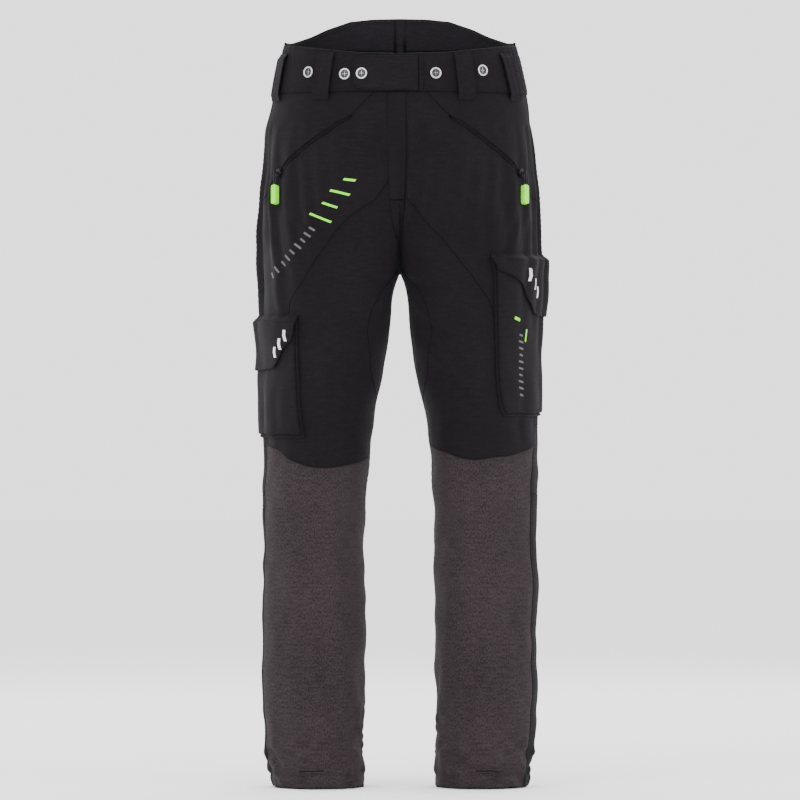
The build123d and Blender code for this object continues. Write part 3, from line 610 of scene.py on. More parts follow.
def settle(obj, side, slot_name, *nodes):
    """Leg cloth rides on the trousers' body where it lies wholly above the knee and on the lower leg where
    wholly below; cloth that reaches across the knee keeps its baked transform on no body.
    """
    z = np.array([v.co.z for v in obj.data.vertices]) * 1000 + BELT_LINE
    leg = f"lower_leg_{side}"
    if z.min() > KNEE[0]:
        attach(obj, "trousers")
    elif z.max() < KNEE[1]:
        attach(obj, leg)
    else:
        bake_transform(obj)
    if nodes:
        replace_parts(obj, *nodes)
    return obj


def declare(obj, maker):
    """Works out the size of the flat cloth that a piece was cut from, but keeps nothing of it; the piece is
    returned unchanged.
    """
    low, high = (np.vstack(maker.uv).min(0), np.vstack(maker.uv).max(0))
    width, length = np.maximum(high - low, 0.012)
    width = max(width, maker.area / length * 1.001)
    if maker.area < 0.31 * width * length:
        width = maker.area / 0.32 / length
    return obj


# ---------------------------------------------------------------- lines on the cloth
def front_points(points):
    x, h = np.array(points, float).T
    return to_flat(phi_front(x, h), h)


def back_points(points):
    x, h = np.array(points, float).T
    return to_flat(-phi_front(x, h), h)


def angle_line(angle, start, end, step=3.0):
    """A line at an angle round the side, a number or a function of height, between two heights."""
    h = np.linspace(start, end, max(2, int(abs(end - start) / 6) + 1))
    phi = np.array([angle(v) for v in h]) if callable(angle) else np.full(len(h), float(angle))
    p = to_flat(phi, h)
    run = np.concatenate([[0], np.cumsum(np.hypot(*np.diff(p, axis=0).T))])
    at = np.linspace(0, run[-1], max(2, int(round(run[-1] / step)) + 1))
    return np.stack([np.interp(at, run, p[:, 0]), np.interp(at, run, p[:, 1])], 1)


def level_line(h, start, end, step=3.0):
    """A line at one height between two angles."""
    p = to_flat(np.linspace(start, end, 60), np.full(60, float(h)))
    return curve([p[0], p[-1]], step)


def side_phi(side):
    low = math.radians(26 if side == "left" else 13)
    return lambda h: -(low + (math.radians(8) - low) * float(smooth((h - 430) / 140)))


def centre_front(h):
    return -float(phi_end(np.array([h]))[0])


def centre_back(h):
    return float(phi_end(np.array([h]))[0])


def at_x(x):
    return lambda h: float(phi_front(np.array([float(x)]), np.array([h]))[0])


def line_3d(side, line, lift):
    """Points and normals of a flat line on the draped cloth."""
    phi = line[:, 0] / radius_at(line[:, 1])
    return surface(side, phi, line[:, 1], lift)


def shift(line, amount):
    """A line moved sideways, to the left of its direction, by one amount or one for each point."""
    run = np.gradient(line, axis=0)
    run /= np.maximum(np.hypot(*run.T), 1e-9)[:, None]
    return line + np.stack([-run[:, 1], run[:, 0]], 1) * np.reshape(amount, (-1, 1))


# ---------------------------------------------------------------- stitches, tubes and other small things
def pill(around=6, rings=3):
    """A small capsule of unit half length along X and unit half width."""
    v, f = [(-1, 0, 0)], []
    for r in range(rings):
        x = -0.78 + 1.56 * r / (rings - 1)
        w = 0.8 if r in (0, rings - 1) else 1.0
        v += [(x, w * math.cos(6.2832 * k / around), w * math.sin(6.2832 * k / around))
              for k in range(around)]
    v.append((1, 0, 0))
    for k in range(around):
        n = (k + 1) % around
        f.append([0, 1 + n, 1 + k])
        for r in range(rings - 1):
            a, b = 1 + r * around, 1 + (r + 1) * around
            f.append([a + k, a + n, b + n, b + k])
        a = 1 + (rings - 1) * around
        f.append([len(v) - 1, a + k, a + n])
    return np.array(v, float), f


PILL, PILL_FACES = pill()


def scatter(maker, centres, ways, normals, long, wide, high):
    """A capsule at each centre, along its way and lying on its normal."""
    across = np.cross(normals, ways)
    for c, w, s, n in zip(centres, ways, across, normals):
        co = c + PILL[:, :1] * w * long + PILL[:, 1:2] * s * wide + PILL[:, 2:] * n * high
        maker.add(co, PILL_FACES, np.zeros((len(co), 2)), np.zeros(len(co)))


def stitch(maker, points, normals, pitch=3.3, long=1.15, wide=0.30, sink=0.02):
    """A row of stitches along points on the cloth."""
    run = np.concatenate([[0], np.cumsum(np.linalg.norm(np.diff(points, axis=0), axis=1))])
    if run[-1] < pitch:
        return
    at = np.arange(pitch / 2, run[-1], pitch)

    def pick(values, where):
        return np.stack([np.interp(where, run, values[:, k]) for k in range(3)], 1)

    c, n = pick(points, at), pick(normals, at)
    ways = pick(points, np.minimum(at + 0.8, run[-1])) - pick(points, np.maximum(at - 0.8, 0))
    ways /= np.maximum(np.linalg.norm(ways, axis=1, keepdims=True), 1e-9)
    n /= np.maximum(np.linalg.norm(n, axis=1, keepdims=True), 1e-9)
    scatter(maker, c - n * sink, ways, n, long, wide, wide * 0.8)


def sew(maker, side, line, lift=0.1, **more):
    """A row of stitches along a flat line."""
    p, n = line_3d(side, line, lift)
    stitch(maker, p, n, **more)


def tube(maker, points, radius, around=10):
    """A round strip through points, closed at its ends."""
    p = np.array(points, float)
    ways = np.gradient(p, axis=0)
    ways /= np.linalg.norm(ways, axis=1, keepdims=True)
    ref = np.array([0.31, 0.2, 0.93])
    first = np.cross(ways[0], ref)
    frames = []
    for w in ways:
        first = first - w * (first @ w)
        first /= np.linalg.norm(first)
        frames.append((first.copy(), np.cross(w, first)))
    co, uv, run = [], [], 0.0
    for k, (a, b) in enumerate(frames):
        run += 0 if k == 0 else float(np.linalg.norm(p[k] - p[k - 1]))
        for j in range(around):
            t = 2 * math.pi * j / around
            co.append(p[k] + radius * (math.cos(t) * a + math.sin(t) * b))
            uv.append((run / 1000, radius * t / 1000))
    faces = [[k * around + j, k * around + (j + 1) % around, (k + 1) * around + (j + 1) % around,
              (k + 1) * around + j] for k in range(len(p) - 1) for j in range(around)]
    faces += [list(range(around))[::-1], [(len(p) - 1) * around + j for j in range(around)]]
    maker.add(np.array(co), faces, np.array(uv), np.zeros(len(co)))


def front_surface(x, h, lift=0.0):
    """The front near the centre line, where the two sides run into each other; x is signed."""
    x, h = np.asarray(x, float), np.asarray(h, float)

    def at(xx, hh):
        near = np.sqrt(xx**2 + 36.0)
        phi = phi_front(near, hh)
        left, right = surface("left", phi, hh)[0], surface("right", phi, hh)[0]
        w = smooth((xx + 10) / 20)[:, None]
        p = w * left + (1 - w) * right
        drift = w[:, 0] * (left[:, 0] - near) + (1 - w[:, 0]) * (right[:, 0] + near)
        p[:, 0] = xx + drift
        return p

    p = at(x, h)
    n = np.cross(at(x + 1, h) - at(x - 1, h), at(x, h + 1) - at(x, h - 1))
    n /= np.linalg.norm(n, axis=1, keepdims=True)
    return p + n * np.reshape(lift, (-1, 1)), n


def front_patch(maker, outline, lift, thick, shape=None, step=3.5, edge=1.3, rings=(0.5, 1.3, 2.6)):
    """A piece laid over the centre front, cut in signed x and height."""
    flat, tris, d = cut(np.array(outline, float), step, rings)
    extra = shape(flat, d) if shape else np.zeros(len(flat))
    fall = np.clip(1 - d / edge, 0, 1)
    rounded = thick * 0.55 * (1 - np.sqrt(np.clip(1 - fall**2, 0, 1)))
    top, _ = front_surface(flat[:, 0], flat[:, 1], lift + thick + extra - rounded)
    low, _ = front_surface(flat[:, 0], flat[:, 1], lift + extra)
    base = sum(len(c) for c in maker.co)
    # painted seam shade at the piece's edge, on its outer face only
    maker.add(top, tris, flat / 1000, np.exp(-d / 1.2) * 0.8)
    maker.add(low, [t[::-1] for t in tris], flat / 1000, d * 0)
    a, b, c = (top[[t[k] for t in tris]] for k in range(3))
    maker.area += float(np.linalg.norm(np.cross(b - a, c - a), axis=1).sum() / 2) * 1e-6
    sides = {pair: True for t in tris for pair in zip(t, t[1:] + t[:1])}
    walls = [[base + j, base + i, base + len(top) + i, base + len(top) + j]
             for i, j in sides if (j, i) not in sides]
    maker.faces += walls


threads = {side: Maker(f"stitching_{side}", THREAD, side) for side in SIGN}
plain_threads = Maker("stitching_waist", THREAD, "left")

# ---------------------------------------------------------------- seams
THIGH_POINTS = {
    "left": [(5, 857), (37, 819), (62, 793), (82, 768), (111, 728), (130, 699), (146, 655), (164, 610)],
    "right": [(14, 880), (37, 848), (67, 828), (88, 809), (108, 782), (125, 757), (138, 732), (157, 700),
              (163, 676)],
}
FLY_EDGE = {"left": 5, "right": 14}
FLY_FOOT = 850
KNEE_POINTS = {
    "left": [(61.6, 487), (83, 478.5), (108, 474), (134, 477), (160, 480), (184, 489)],
    "right": [(74.7, 467), (105, 462.5), (135.6, 465), (163, 475.6), (176, 487)],
}
KNEE_INNER = {"left": 499, "right": 484}
GUSSET_POINTS = [(10, 742), (28, 725), (41, 702), (48.6, 673), (48, 650), (43, 623), (37, 586)]
GUSSET_TOP, GUSSET_FOOT = 753, 546
ZIP_ENDS = ((72, 965), (128, 927), (178, 883))
SEAT_POINTS = [(8, 806), (70, 778), (140, 742)]
STRETCH = (522, 424)


def zip_line():
    """The hand pocket zip's arc on the wearer's left, as distances from the centre line and heights."""
    p = [plain("left", phi_front(np.array([x]), np.array([h])), np.array([float(h)]))[0] for x, h in ZIP_ENDS]
    ab, ac = p[1] - p[0], p[2] - p[0]
    axis = np.cross(ab, ac)
    centre = p[0] + (np.cross(axis, ab) * (ac @ ac) + np.cross(ac, axis) * (ab @ ab)) / (2 * axis @ axis)
    axis /= np.linalg.norm(axis)
    first, radius = p[0] - centre, np.linalg.norm(p[0] - centre)
    first /= radius
    second = np.cross(axis, first)
    last = p[2] - centre
    sweep = math.atan2(last @ second, last @ first)
    t = np.linspace(0, sweep, 14)[:, None]
    q = centre + radius * (np.cos(t) * first + np.sin(t) * second)
    return np.stack([q[:, 0], q[:, 2] + BELT_LINE], 1)


ZIP_LINE = front_points(zip_line())
BAND_LOW = 1001.5


def make_panel(name, side, material, outlines, slot_name, *nodes, step=4.0, thick=1.3, **more):
    m = Maker(f"{name}_{side}_cloth", material, side)
    for outline in outlines:
        m.patch(outline, -thick, thick, step, **more)
    declare(settle(m.make(), side, slot_name, *nodes), m)


def build_side(side):
    seam = side_phi(side)
    t = threads[side]
    top = BAND_LOW
    hip_head = front_points([(37, top)])
    hip_tail = np.vstack([front_points([(192, 862)]), to_flat([seam(842)], [842])])
    hip = curve(np.vstack([hip_head, ZIP_LINE, hip_tail]), 2.6)
    near_zip = gap_to(hip, ZIP_LINE[:-1], ZIP_LINE[1:]) < 1.0
    window = np.convolve(np.pad(near_zip.astype(float), 1, mode="edge"), [0.25, 0.5, 0.25], mode="valid")
    slot_edge = 3.9 * window
    up, down = shift(hip, slot_edge), shift(hip, -slot_edge)

    thigh_head = front_points(THIGH_POINTS[side])
    thigh = curve(np.vstack([thigh_head, to_flat([seam(588)], [588])]), 3.0)
    knee = curve(np.vstack([to_flat([-math.pi], [KNEE_INNER[side]]), front_points(KNEE_POINTS[side]),
                            to_flat([seam(496)], [496])]), 3.0)
    gusset = curve(np.vstack([to_flat([centre_front(GUSSET_TOP)], [GUSSET_TOP]), front_points(GUSSET_POINTS),
                              to_flat([-math.pi], [GUSSET_FOOT])]), 3.0)
    gusset_back = gusset * np.array([-1.0, 1.0])
    seat = curve(np.vstack([to_flat([centre_back(806)], [806]), back_points(SEAT_POINTS[1:]),
                            to_flat([0.35, seam(716)], [722, 716])]), 3.0)
    fly = at_x(FLY_EDGE[side])

    # outer panels
    make_panel("hip_panel", side, BLACK,
               [ring(up, angle_line(seam, 842, top), level_line(top, seam(top), at_x(37)(top)))],
               "black_cloth", f"hip_panel_{side}")
    make_panel("upper_front_panel", side, BLACK,
               [ring(down, angle_line(seam, 842, 588), thigh[::-1], angle_line(fly, thigh[0, 1], top))],
               "black_cloth", f"upper_front_panel_{side}")
    centre = angle_line(centre_front, GUSSET_TOP, FLY_FOOT)
    make_panel("thigh_front_panel", side, BLACK,
               [ring(thigh, angle_line(seam, 588, 496), knee[::-1],
                     angle_line(-math.pi, KNEE_INNER[side], GUSSET_FOOT),
                     gusset[::-1], centre, angle_line(fly, FLY_FOOT, thigh[0, 1]))],
               "black_cloth", f"thigh_front_panel_{side}")
    inner_edge = angle_line(-math.pi, GUSSET_FOOT, CROTCH)
    rise = angle_line(centre_front, CROTCH, GUSSET_TOP, 1.5)
    make_panel("inner_thigh_panel", side, BLACK,
               [ring(gusset, inner_edge, rise), ring(gusset_back, inner_edge * [-1, 1], rise * [-1, 1])],
               "black_cloth", f"inner_thigh_panel_{side}")
    make_panel("shin_front_panel", side, GREY,
               [ring(knee, angle_line(seam, 496, 0), level_line(0, seam(0), -math.pi),
                     angle_line(-math.pi, 0, KNEE_INNER[side]))],
               "grey_cloth", f"shin_front_panel_{side}")
    make_panel("seat_panel", side, BLACK,
               [ring(seat, angle_line(seam, 716, top), level_line(top, seam(top), centre_back(top)),
                     angle_line(centre_back, top, 806))], "black_cloth", f"seat_panel_{side}", step=4.6)
    stretch_top, stretch_low = STRETCH
    make_panel("thigh_back_panel", side, BLACK,
               [ring(seat, angle_line(seam, 716, stretch_top),
                     level_line(stretch_top, seam(stretch_top), math.pi),
                     angle_line(math.pi, stretch_top, GUSSET_FOOT), gusset_back[::-1],
                     angle_line(centre_back, GUSSET_TOP, 806))],
               "black_cloth", f"thigh_back_panel_{side}", step=4.6)

    def pleats(flat, d):
        near_seam = smooth((flat[:, 0] / radius_at(flat[:, 1]) - 0.15) / 0.55)
        return 1.1 * np.sin(flat[:, 1] * 2 * math.pi / 11.0) * smooth(d / 12) * near_seam

    make_panel("knee_stretch_panel", side, PANEL,
               [ring(level_line(stretch_top, seam(stretch_top), math.pi),
                     angle_line(math.pi, stretch_top, stretch_low),
                     level_line(stretch_low, math.pi, seam(stretch_low)),
                     angle_line(seam, stretch_low, stretch_top))],
               "black_cloth", f"knee_stretch_panel_{side}", shape=pleats, step=3.4)
    make_panel("calf_back_panel", side, BLACK,
               [ring(level_line(stretch_low, seam(stretch_low), math.pi), angle_line(math.pi, stretch_low, 0),
                     level_line(0, math.pi, seam(0)), angle_line(seam, 0, stretch_low))],
               "black_cloth", f"calf_back_panel_{side}", step=4.6)

    # seams, sewn twice where they carry
    for line, offsets in ((up, (1.8,)), (down, (-1.8, -6.5)), (thigh, (-1.8, -6.6)), (gusset, (1.9,)),
                          (gusset_back, (-1.9,)), (knee, (1.9,)), (seat, (1.9, 6.8))):
        for o in offsets:
            sew(t, side, shift(line, o)[1:-1])
    for low, high in ((6, 494), (590, 838), (846, 996)):
        line = angle_line(seam, low, high)
        sew(t, side, shift(line, -2.0))
        sew(t, side, shift(line, -7.0))
    sew(t, side, shift(angle_line(centre_back, 762, 998), 2.0))
    sew(t, side, shift(angle_line(centre_front, 768, 790), -2.0))
    for h in (18.5, 21.5):
        sew(t, side, level_line(h, -math.pi + 0.01, math.pi - 0.01), pitch=3.0)
    for h in (stretch_top + 2.2, stretch_low - 2.2):
        sew(t, side, level_line(h, seam(h) + 0.03, math.pi - 0.02))

    # boot hook slit above the hem
    slit = Maker(f"hem_slit_{side}", THREAD, side)
    x0, x1 = (109, 150) if side == "left" else (110, 144)
    middle = front_points([(x0, 27), (x1, 26)])
    slit.patch(ring(curve(middle, 2), curve(middle[::-1] + [0, -2.2], 2), step=2), 0.0, 0.35, 2.5, edge=0.4,
               rings=(0.7,))
    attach(slit.make(), f"lower_leg_{side}")
    for h in (29.5, 22.0):
        sew(t, side, front_points([(x0 + k, h) for k in np.linspace(0, x1 - x0, 12)]), pitch=1.3, long=0.6)

    # hand pocket zip
    tapes = Maker(f"hand_zip_tapes_{side}_cloth", TAPE, side)
    coils = Maker(f"hand_zip_coil_{side}", PLASTIC, side)
    z = curve(ZIP_LINE, 1.5)
    for s in (-1, 1):
        tapes.patch(ring(shift(z, s * 0.5), shift(z, s * 5.4)[::-1], step=1.5), -2.4, 0.7, 2.5, edge=0.5,
                    rings=(0.6,), pucker=0)
        p, n = line_3d(side, shift(z, s * 0.75), -1.3)
        ways = np.gradient(p, axis=0)
        ways /= np.linalg.norm(ways, axis=1, keepdims=True)
        scatter(coils, p + ways * (0.38 * s), np.cross(n, ways), n, 1.25, 0.34, 0.45)
    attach(tapes.make(), "trousers")
    declare(bpy.data.objects[tapes.name], tapes)
    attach(coils.make(), "trousers")


for side_name in SIGN:
    build_side(side_name)
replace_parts(bpy.data.objects["hand_zip_tapes_left_cloth"], "hand_zip_tapes")
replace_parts(bpy.data.objects["hand_zip_coil_left"], "hand_zip_coils")


# ---------------------------------------------------------------- waist, cut right round the crown
BAND_TOP = np.array([(0, 1056), (60, 1058), (120, 1065), (170, 1073), (240, 1078)], float)
BACK_TOP = np.array([(0, 1119), (40, 1118), (73, 1114), (106, 1102), (130, 1090), (158, 1079), (240, 1070)],
                    float)
BACK_JOIN = 1060.0
SIDE_Y = -8.0


def crown_phi(x, h, back=False):
    a = section(h)[2]
    return np.arccos(np.clip(np.asarray(x, float) / a, -1, 1)) * (1 if back else -1)


def crown_points(points, back=False):
    x, h = np.array(points, float).T
    return to_flat(crown_phi(x, h, back), h)


def top_edge(table, start, end, drop=0.0):
    """The crown's top edge between two angles."""
    phi = np.linspace(start, end, 3 * max(3, int(abs(end - start) * 20)) + 1)
    h = np.full(len(phi), 1070.0)
    for _ in range(5):
        h = np.interp(np.abs(section(h)[2] * np.cos(phi)), table[:, 0], table[:, 1]) - drop
    return curve(to_flat(phi, h)[::3], 2.6)


def crown_level(h, start, end, step=3.0):
    return curve(to_flat([start, end], [h, h]), step)


side_angle = float(phi_at_y(SIDE_Y, 1030.0))
LEFT_SIDE, RIGHT_SIDE = side_angle, math.pi - side_angle
SPLIT_X = -4.5


def ruching(strength):
    def shape(flat, d):
        phi = flat[:, 0] / radius_at(flat[:, 1])
        off = np.minimum(np.abs(phi), np.abs(math.pi - np.abs(phi)))
        near = smooth((0.62 - off) / 0.25)
        lean = 0.55 * np.sin(flat[:, 0] * 0.31) + 0.3 * np.sin(flat[:, 1] * 0.12 + flat[:, 0] * 0.05)
        ridge = np.sin(flat[:, 0] * 2 * math.pi / 8.2 + 2.0 * lean)
        return strength * near * ridge * smooth(d / 9)
    return shape


def crown_piece(name, material, outlines, slot_name, *nodes, body="trousers", held="stretched", **more):
    m = Maker(f"{name}_cloth", material, "left")
    for outline in outlines:
        m.patch(outline, **more)
    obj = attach(m.make(), body)
    if nodes:
        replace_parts(obj, *nodes)
    declare(obj, m)


def band_outline(start, end, split):
    low_split, high_split = crown_points([(SPLIT_X, BAND_LOW)]), crown_points([(SPLIT_X, 1056)])
    if split == "end":
        return ring(crown_level(BAND_LOW, start, low_split[0, 0] / radius_at(BAND_LOW)),
                    top_edge(BAND_TOP, high_split[0, 0] / radius_at(1056.0), start))
    return ring(crown_level(BAND_LOW, low_split[0, 0] / radius_at(BAND_LOW), end),
                top_edge(BAND_TOP, end, high_split[0, 0] / radius_at(1056.0)))


crown_piece("waistband_left", BLACK, [band_outline(None, LEFT_SIDE, "start")], "black_cloth",
            "waistband_left", lift=-1.4, thick=2.6, shape=ruching(0.9), edge=2.2)
crown_piece("waistband_right", BLACK, [band_outline(-2 * math.pi + RIGHT_SIDE, None, "end")], "black_cloth",
            "waistband_right", lift=-1.4, thick=2.6, shape=ruching(0.7), edge=2.2)
back_band = ring(crown_level(BAND_LOW, LEFT_SIDE, RIGHT_SIDE), top_edge(BACK_TOP * [1, 0] + [0, BACK_JOIN],
                                                                      RIGHT_SIDE, LEFT_SIDE))
crown_piece("waistband_back", BLACK, [back_band], "black_cloth", "waistband_back",
            lift=-1.4, thick=2.6, shape=ruching(1.3), edge=2.2)
raised = ring(crown_level(BACK_JOIN, LEFT_SIDE, RIGHT_SIDE), top_edge(BACK_TOP, RIGHT_SIDE, LEFT_SIDE, 1.0))
crown_piece("kidney_panel", BLACK, [raised], "black_cloth", "kidney_panel", lift=-1.6, thick=1.6)
FACING_SEAM = 1071.0


def edge_from(height, drop):
    """The back's top edge between the two places where it comes down to a height."""
    line = top_edge(BACK_TOP, LEFT_SIDE, RIGHT_SIDE, drop)
    return line[line[:, 1] > height]


upper = edge_from(FACING_SEAM, 1.2)
crown_piece("kidney_facing", LINER,
            [ring(crown_level(BAND_LOW, LEFT_SIDE, RIGHT_SIDE),
                  crown_level(FACING_SEAM, RIGHT_SIDE, LEFT_SIDE)),
             ring(crown_level(FACING_SEAM, upper[0, 0] / radius_at(FACING_SEAM),
                              upper[-1, 0] / radius_at(FACING_SEAM)), upper[::-1])],
            "lining", "kidney_facing", lift=-2.2, thick=-1.2, edge=2.0)
tape_outline = ring(crown_points([(9, 1060), (9, 1117)], True), crown_points([(-9, 1117), (-9, 1060)], True),
                    step=2.5)
crown_piece("back_tape", LINER, [tape_outline], "tape", "back_tape", lift=-3.6, thick=-1.2, edge=0.8, step=3.0)

binding = Maker("waist_binding", TAPE)
tube(binding, line_3d("left", top_edge(BACK_TOP, LEFT_SIDE + 0.02, RIGHT_SIDE - 0.02, 1.6), -1.2)[0], 1.7)
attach(binding.make(), "trousers")

w = plain_threads
for h in (BAND_LOW + 2.4, BAND_LOW + 5.4):
    sew(w, "left", crown_level(h, LEFT_SIDE + 0.01, RIGHT_SIDE - 0.01), 1.3)
    sew(w, "left", crown_level(h, -2 * math.pi + RIGHT_SIDE + 0.01, crown_phi(-22, h)), 1.3)
    sew(w, "left", crown_level(h, crown_phi(28, h), LEFT_SIDE - 0.01), 1.3)
sew(w, "left", top_edge(BAND_TOP, -2 * math.pi + RIGHT_SIDE, LEFT_SIDE, 3.0), 1.35)
sew(w, "left", top_edge(BACK_TOP, LEFT_SIDE, RIGHT_SIDE, 6.0), 0.1)
for h in (BACK_JOIN - 2.5, BACK_JOIN + 2.5):
    sew(w, "left", crown_level(h, LEFT_SIDE, RIGHT_SIDE), 1.3 if h < BACK_JOIN else 0.1)
sew(w, "left", crown_level(FACING_SEAM + 2.2, LEFT_SIDE + 0.2, RIGHT_SIDE - 0.2), -3.6)
sew(w, "left", top_edge(BACK_TOP, LEFT_SIDE + 0.3, RIGHT_SIDE - 0.3, 6.0), -3.55)
for x in (-7.4, 7.4):
    sew(w, "left", curve(crown_points([(x, 1062), (x, 1113)], True)), -4.9)
for x in (-4, 4):
    sew(w, "left", curve(crown_points([(x, 1064), (x, 1114)], True)), 0.1)

# tab
TAB = [(26, 1003), (26, 1053), (-52, 1053), (-61, 1050), (-66, 1042), (-66, 1014), (-61, 1006), (-52, 1003)]
crown_piece("waist_tab", PANEL, [polygon(list(crown_points(TAB)), 2.5)], "black_cloth", "waist_tab", body="tab",
            held="laid", lift=2.7, thick=2.4, edge=2.0, step=3.2)
tab_threads = Maker("stitching_tab", THREAD)
inset = np.array([(24, 1050.6), (-51, 1050.6), (-59.5, 1047.5), (-63.4, 1041), (-63.4, 1015), (-59.5, 1008.4),
                  (-51, 1005.4), (24, 1005.4)])
for a, b in zip(inset[:-1], inset[1:]):
    sew(tab_threads, "left", curve(crown_points([a, b]), 2.5), 5.1)
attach(tab_threads.make(), "tab")
# the tab's root, sewn into the band
root = Maker("tab_root", PANEL)
root.patch(ring(crown_points([(26.4, 1003), (33, 1003)]), crown_points([(33, 1053), (26.4, 1053)]), step=2.5),
           0.8, 2.4, 3.0, edge=1.0,
           shape=lambda flat, d: 2.0 * smooth((32.5 - section(flat[:, 1])[2] * np.cos(
               flat[:, 0] / radius_at(flat[:, 1]))) / 6))
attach(root.make(), "trousers")
for x in (28.5, 31):
    sew(w, "left", curve(crown_points([(x, 1005), (x, 1051)])), 4.4 if x < 30 else 3.6)

# belt loops
loops = Maker("belt_loops_cloth", PANEL)
LOOP_LOW, LOOP_TOP, LOOP_WIDE, LOOP_BULGE, LOOP_THICK = 991.0, 1059.0, 27.0, 3.4, 1.6


def belt_loop(x, back):
    """A doubled strap that bulges away from the band between its two tacked ends."""
    mid = (LOOP_LOW + LOOP_TOP) / 2
    phi = float(crown_phi(x, mid, back))
    slant = -0.04 if abs(x) > 140 and not back else 0.0
    rows, cols = 40, 12
    grids = []
    for face in (1, 0):
        co = []
        for i in range(rows + 1):
            t = i / rows
            h = LOOP_LOW + (LOOP_TOP - LOOP_LOW) * t
            rise = float(smooth(t / 0.14) * smooth((1 - t) / 0.14))
            for j in range(cols + 1):
                u = (j / cols - 0.5) * (LOOP_WIDE - 1)
                p, n = surface("left", np.array([phi + slant * (t - 0.5)]), np.array([h]))
                across = np.cross(n[0], [0, 0, 1.0])
                across /= np.linalg.norm(across)
                edge_fall = 0.5 * (abs(2 * j / cols - 1) ** 6)
                lift = 1.35 + LOOP_BULGE * rise + face * LOOP_THICK * (1 - edge_fall)
                ridge = 0.25 * face * math.cos(2 * math.pi * (j / cols - 0.5) * 2)
                co.append(p[0] + across * u + n[0] * (lift + ridge + 0.4 * (abs(u) / 13) ** 2))
        grids.append(np.array(co))
    span = cols + 1
    faces = []
    for i in range(rows):
        for j in range(cols):
            q = [i * span + j, i * span + j + 1, (i + 1) * span + j + 1, (i + 1) * span + j]
            faces.append(q[::-1])
            faces.append([v + len(grids[0]) for v in q])
    border = (list(range(span)) + [i * span + cols for i in range(1, rows + 1)]
              + [rows * span + j for j in range(cols - 1, -1, -1)]
              + [i * span for i in range(rows - 1, 0, -1)])
    for a, b in zip(border, border[1:] + border[:1]):
        faces.append([a, b, b + len(grids[0]), a + len(grids[0])])
    co = np.vstack(grids)
    uv = np.array([[(k % span) * LOOP_WIDE / cols, (k % len(grids[0])) // span * 1.7]
                   for k in range(len(co))]) / 1000
    loops.add(co, faces, uv, np.zeros(len(co)))
    loops.area += LOOP_WIDE * (LOOP_TOP - LOOP_LOW) * 1.12e-6
    face = grids[0].reshape(rows + 1, span, 3)
    out = np.cross(face[1:-1, 2:] - face[1:-1, :-2], face[2:, 1:-1] - face[:-2, 1:-1])
    out /= np.linalg.norm(out, axis=2, keepdims=True)
    out *= np.sign((out * (face[1:-1, 1:-1] - [0, 0, face[1, 1, 2]])).sum(2, keepdims=True))
    for j in (1, cols - 1):
        stitch(w, face[2:-2, j], out[1:-1, j - 1])
    for i in (2, 4, rows - 4, rows - 2):
        stitch(w, face[i, 1:-1], out[i - 1], pitch=1.3, long=0.8, wide=0.45)


for x in (-172, -109, 92, 158):
    belt_loop(x, False)
for x in (-95, 0, 95):
    belt_loop(x, True)
loops_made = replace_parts(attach(loops.make(), "trousers"), "belt_loops")
declare(loops_made, loops)

# ---------------------------------------------------------------- fly
placket = Maker("fly_placket_cloth", BLACK)
front_patch(placket, ring(curve([(-18, 847), (9, 847)]), curve([(9, BAND_LOW - 0.6), (-18, BAND_LOW - 0.6)])),
            0.35, 1.5, edge=1.6)
placket_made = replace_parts(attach(placket.make(), "placket"), "fly_placket")
declare(placket_made, placket)
# below the zip the same fold is sewn down
lower = Maker("fly_foot_cloth", BLACK)
front_patch(lower, ring(curve([(-18, 846.4), (9, 846.4)][::-1]), curve([(-18, 846), (-16.5, 815), (-9, 793)]),
                        curve([(-9, 793), (2, 797), (9, 806)]), curve([(9, 806), (9, 846.4)])), 0.05, 1.3,
            edge=1.6)
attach(lower.make(), "trousers")
foot_panel = Maker("fly_ground_cloth", BLACK)
front_patch(foot_panel, ring(curve([(-15, 850.5), (6, 850.5)][::-1]), curve([(-15, 850.5), (-15, 838)]),
                             curve([(-15, 838), (6, 838)]), curve([(6, 838), (6, 850.5)])), -1.4, 1.3)
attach(foot_panel.make(), "trousers")


def sew_front(maker, points, lift, **more):
    line = curve(points, 2.0)
    p, n = front_surface(line[:, 0], line[:, 1], lift)
    stitch(maker, p, n, **more)


fly_threads = Maker("stitching_fly", THREAD)
sew_front(fly_threads, [(-16, 850), (-16, 999)], 1.6)
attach(fly_threads.make(), "placket")
sew_front(w, [(24.5, 999), (24.5, 850), (23.5, 826), (17, 808), (6, 797), (-7, 792)], 0.05)
sew_front(w, [(21.5, 999), (21.5, 850), (20.5, 828), (14.5, 812), (5, 802), (-6, 796)], 0.05)
sew_front(w, [(-16, 844), (-14.6, 816), (-8.4, 798)], 1.35)
sew_front(w, [(9.5, 997), (9.5, 852)], 0.05)


def upright_strip(maker, x0, x1, y0, y1, h0, h1):
    """A flat upright strip behind the fly."""
    h = np.linspace(h0, h1, max(2, int((h1 - h0) / 6)))
    corner = [(x0, y0), (x1, y0), (x1, y1), (x0, y1)]
    co = np.array([(x, y, v - BELT_LINE) for v in h for x, y in corner])
    faces = [[4 * k + j, 4 * k + (j + 1) % 4, 4 * k + 4 + (j + 1) % 4, 4 * k + 4 + j]
             for k in range(len(h) - 1) for j in range(4)]
    faces += [[3, 2, 1, 0], [4 * (len(h) - 1) + j for j in range(4)]]
    maker.add(co, faces, co[:, [0, 2]] / 1000, np.zeros(len(co)))
    maker.area += (x1 - x0) * (h1 - h0) * 1e-6


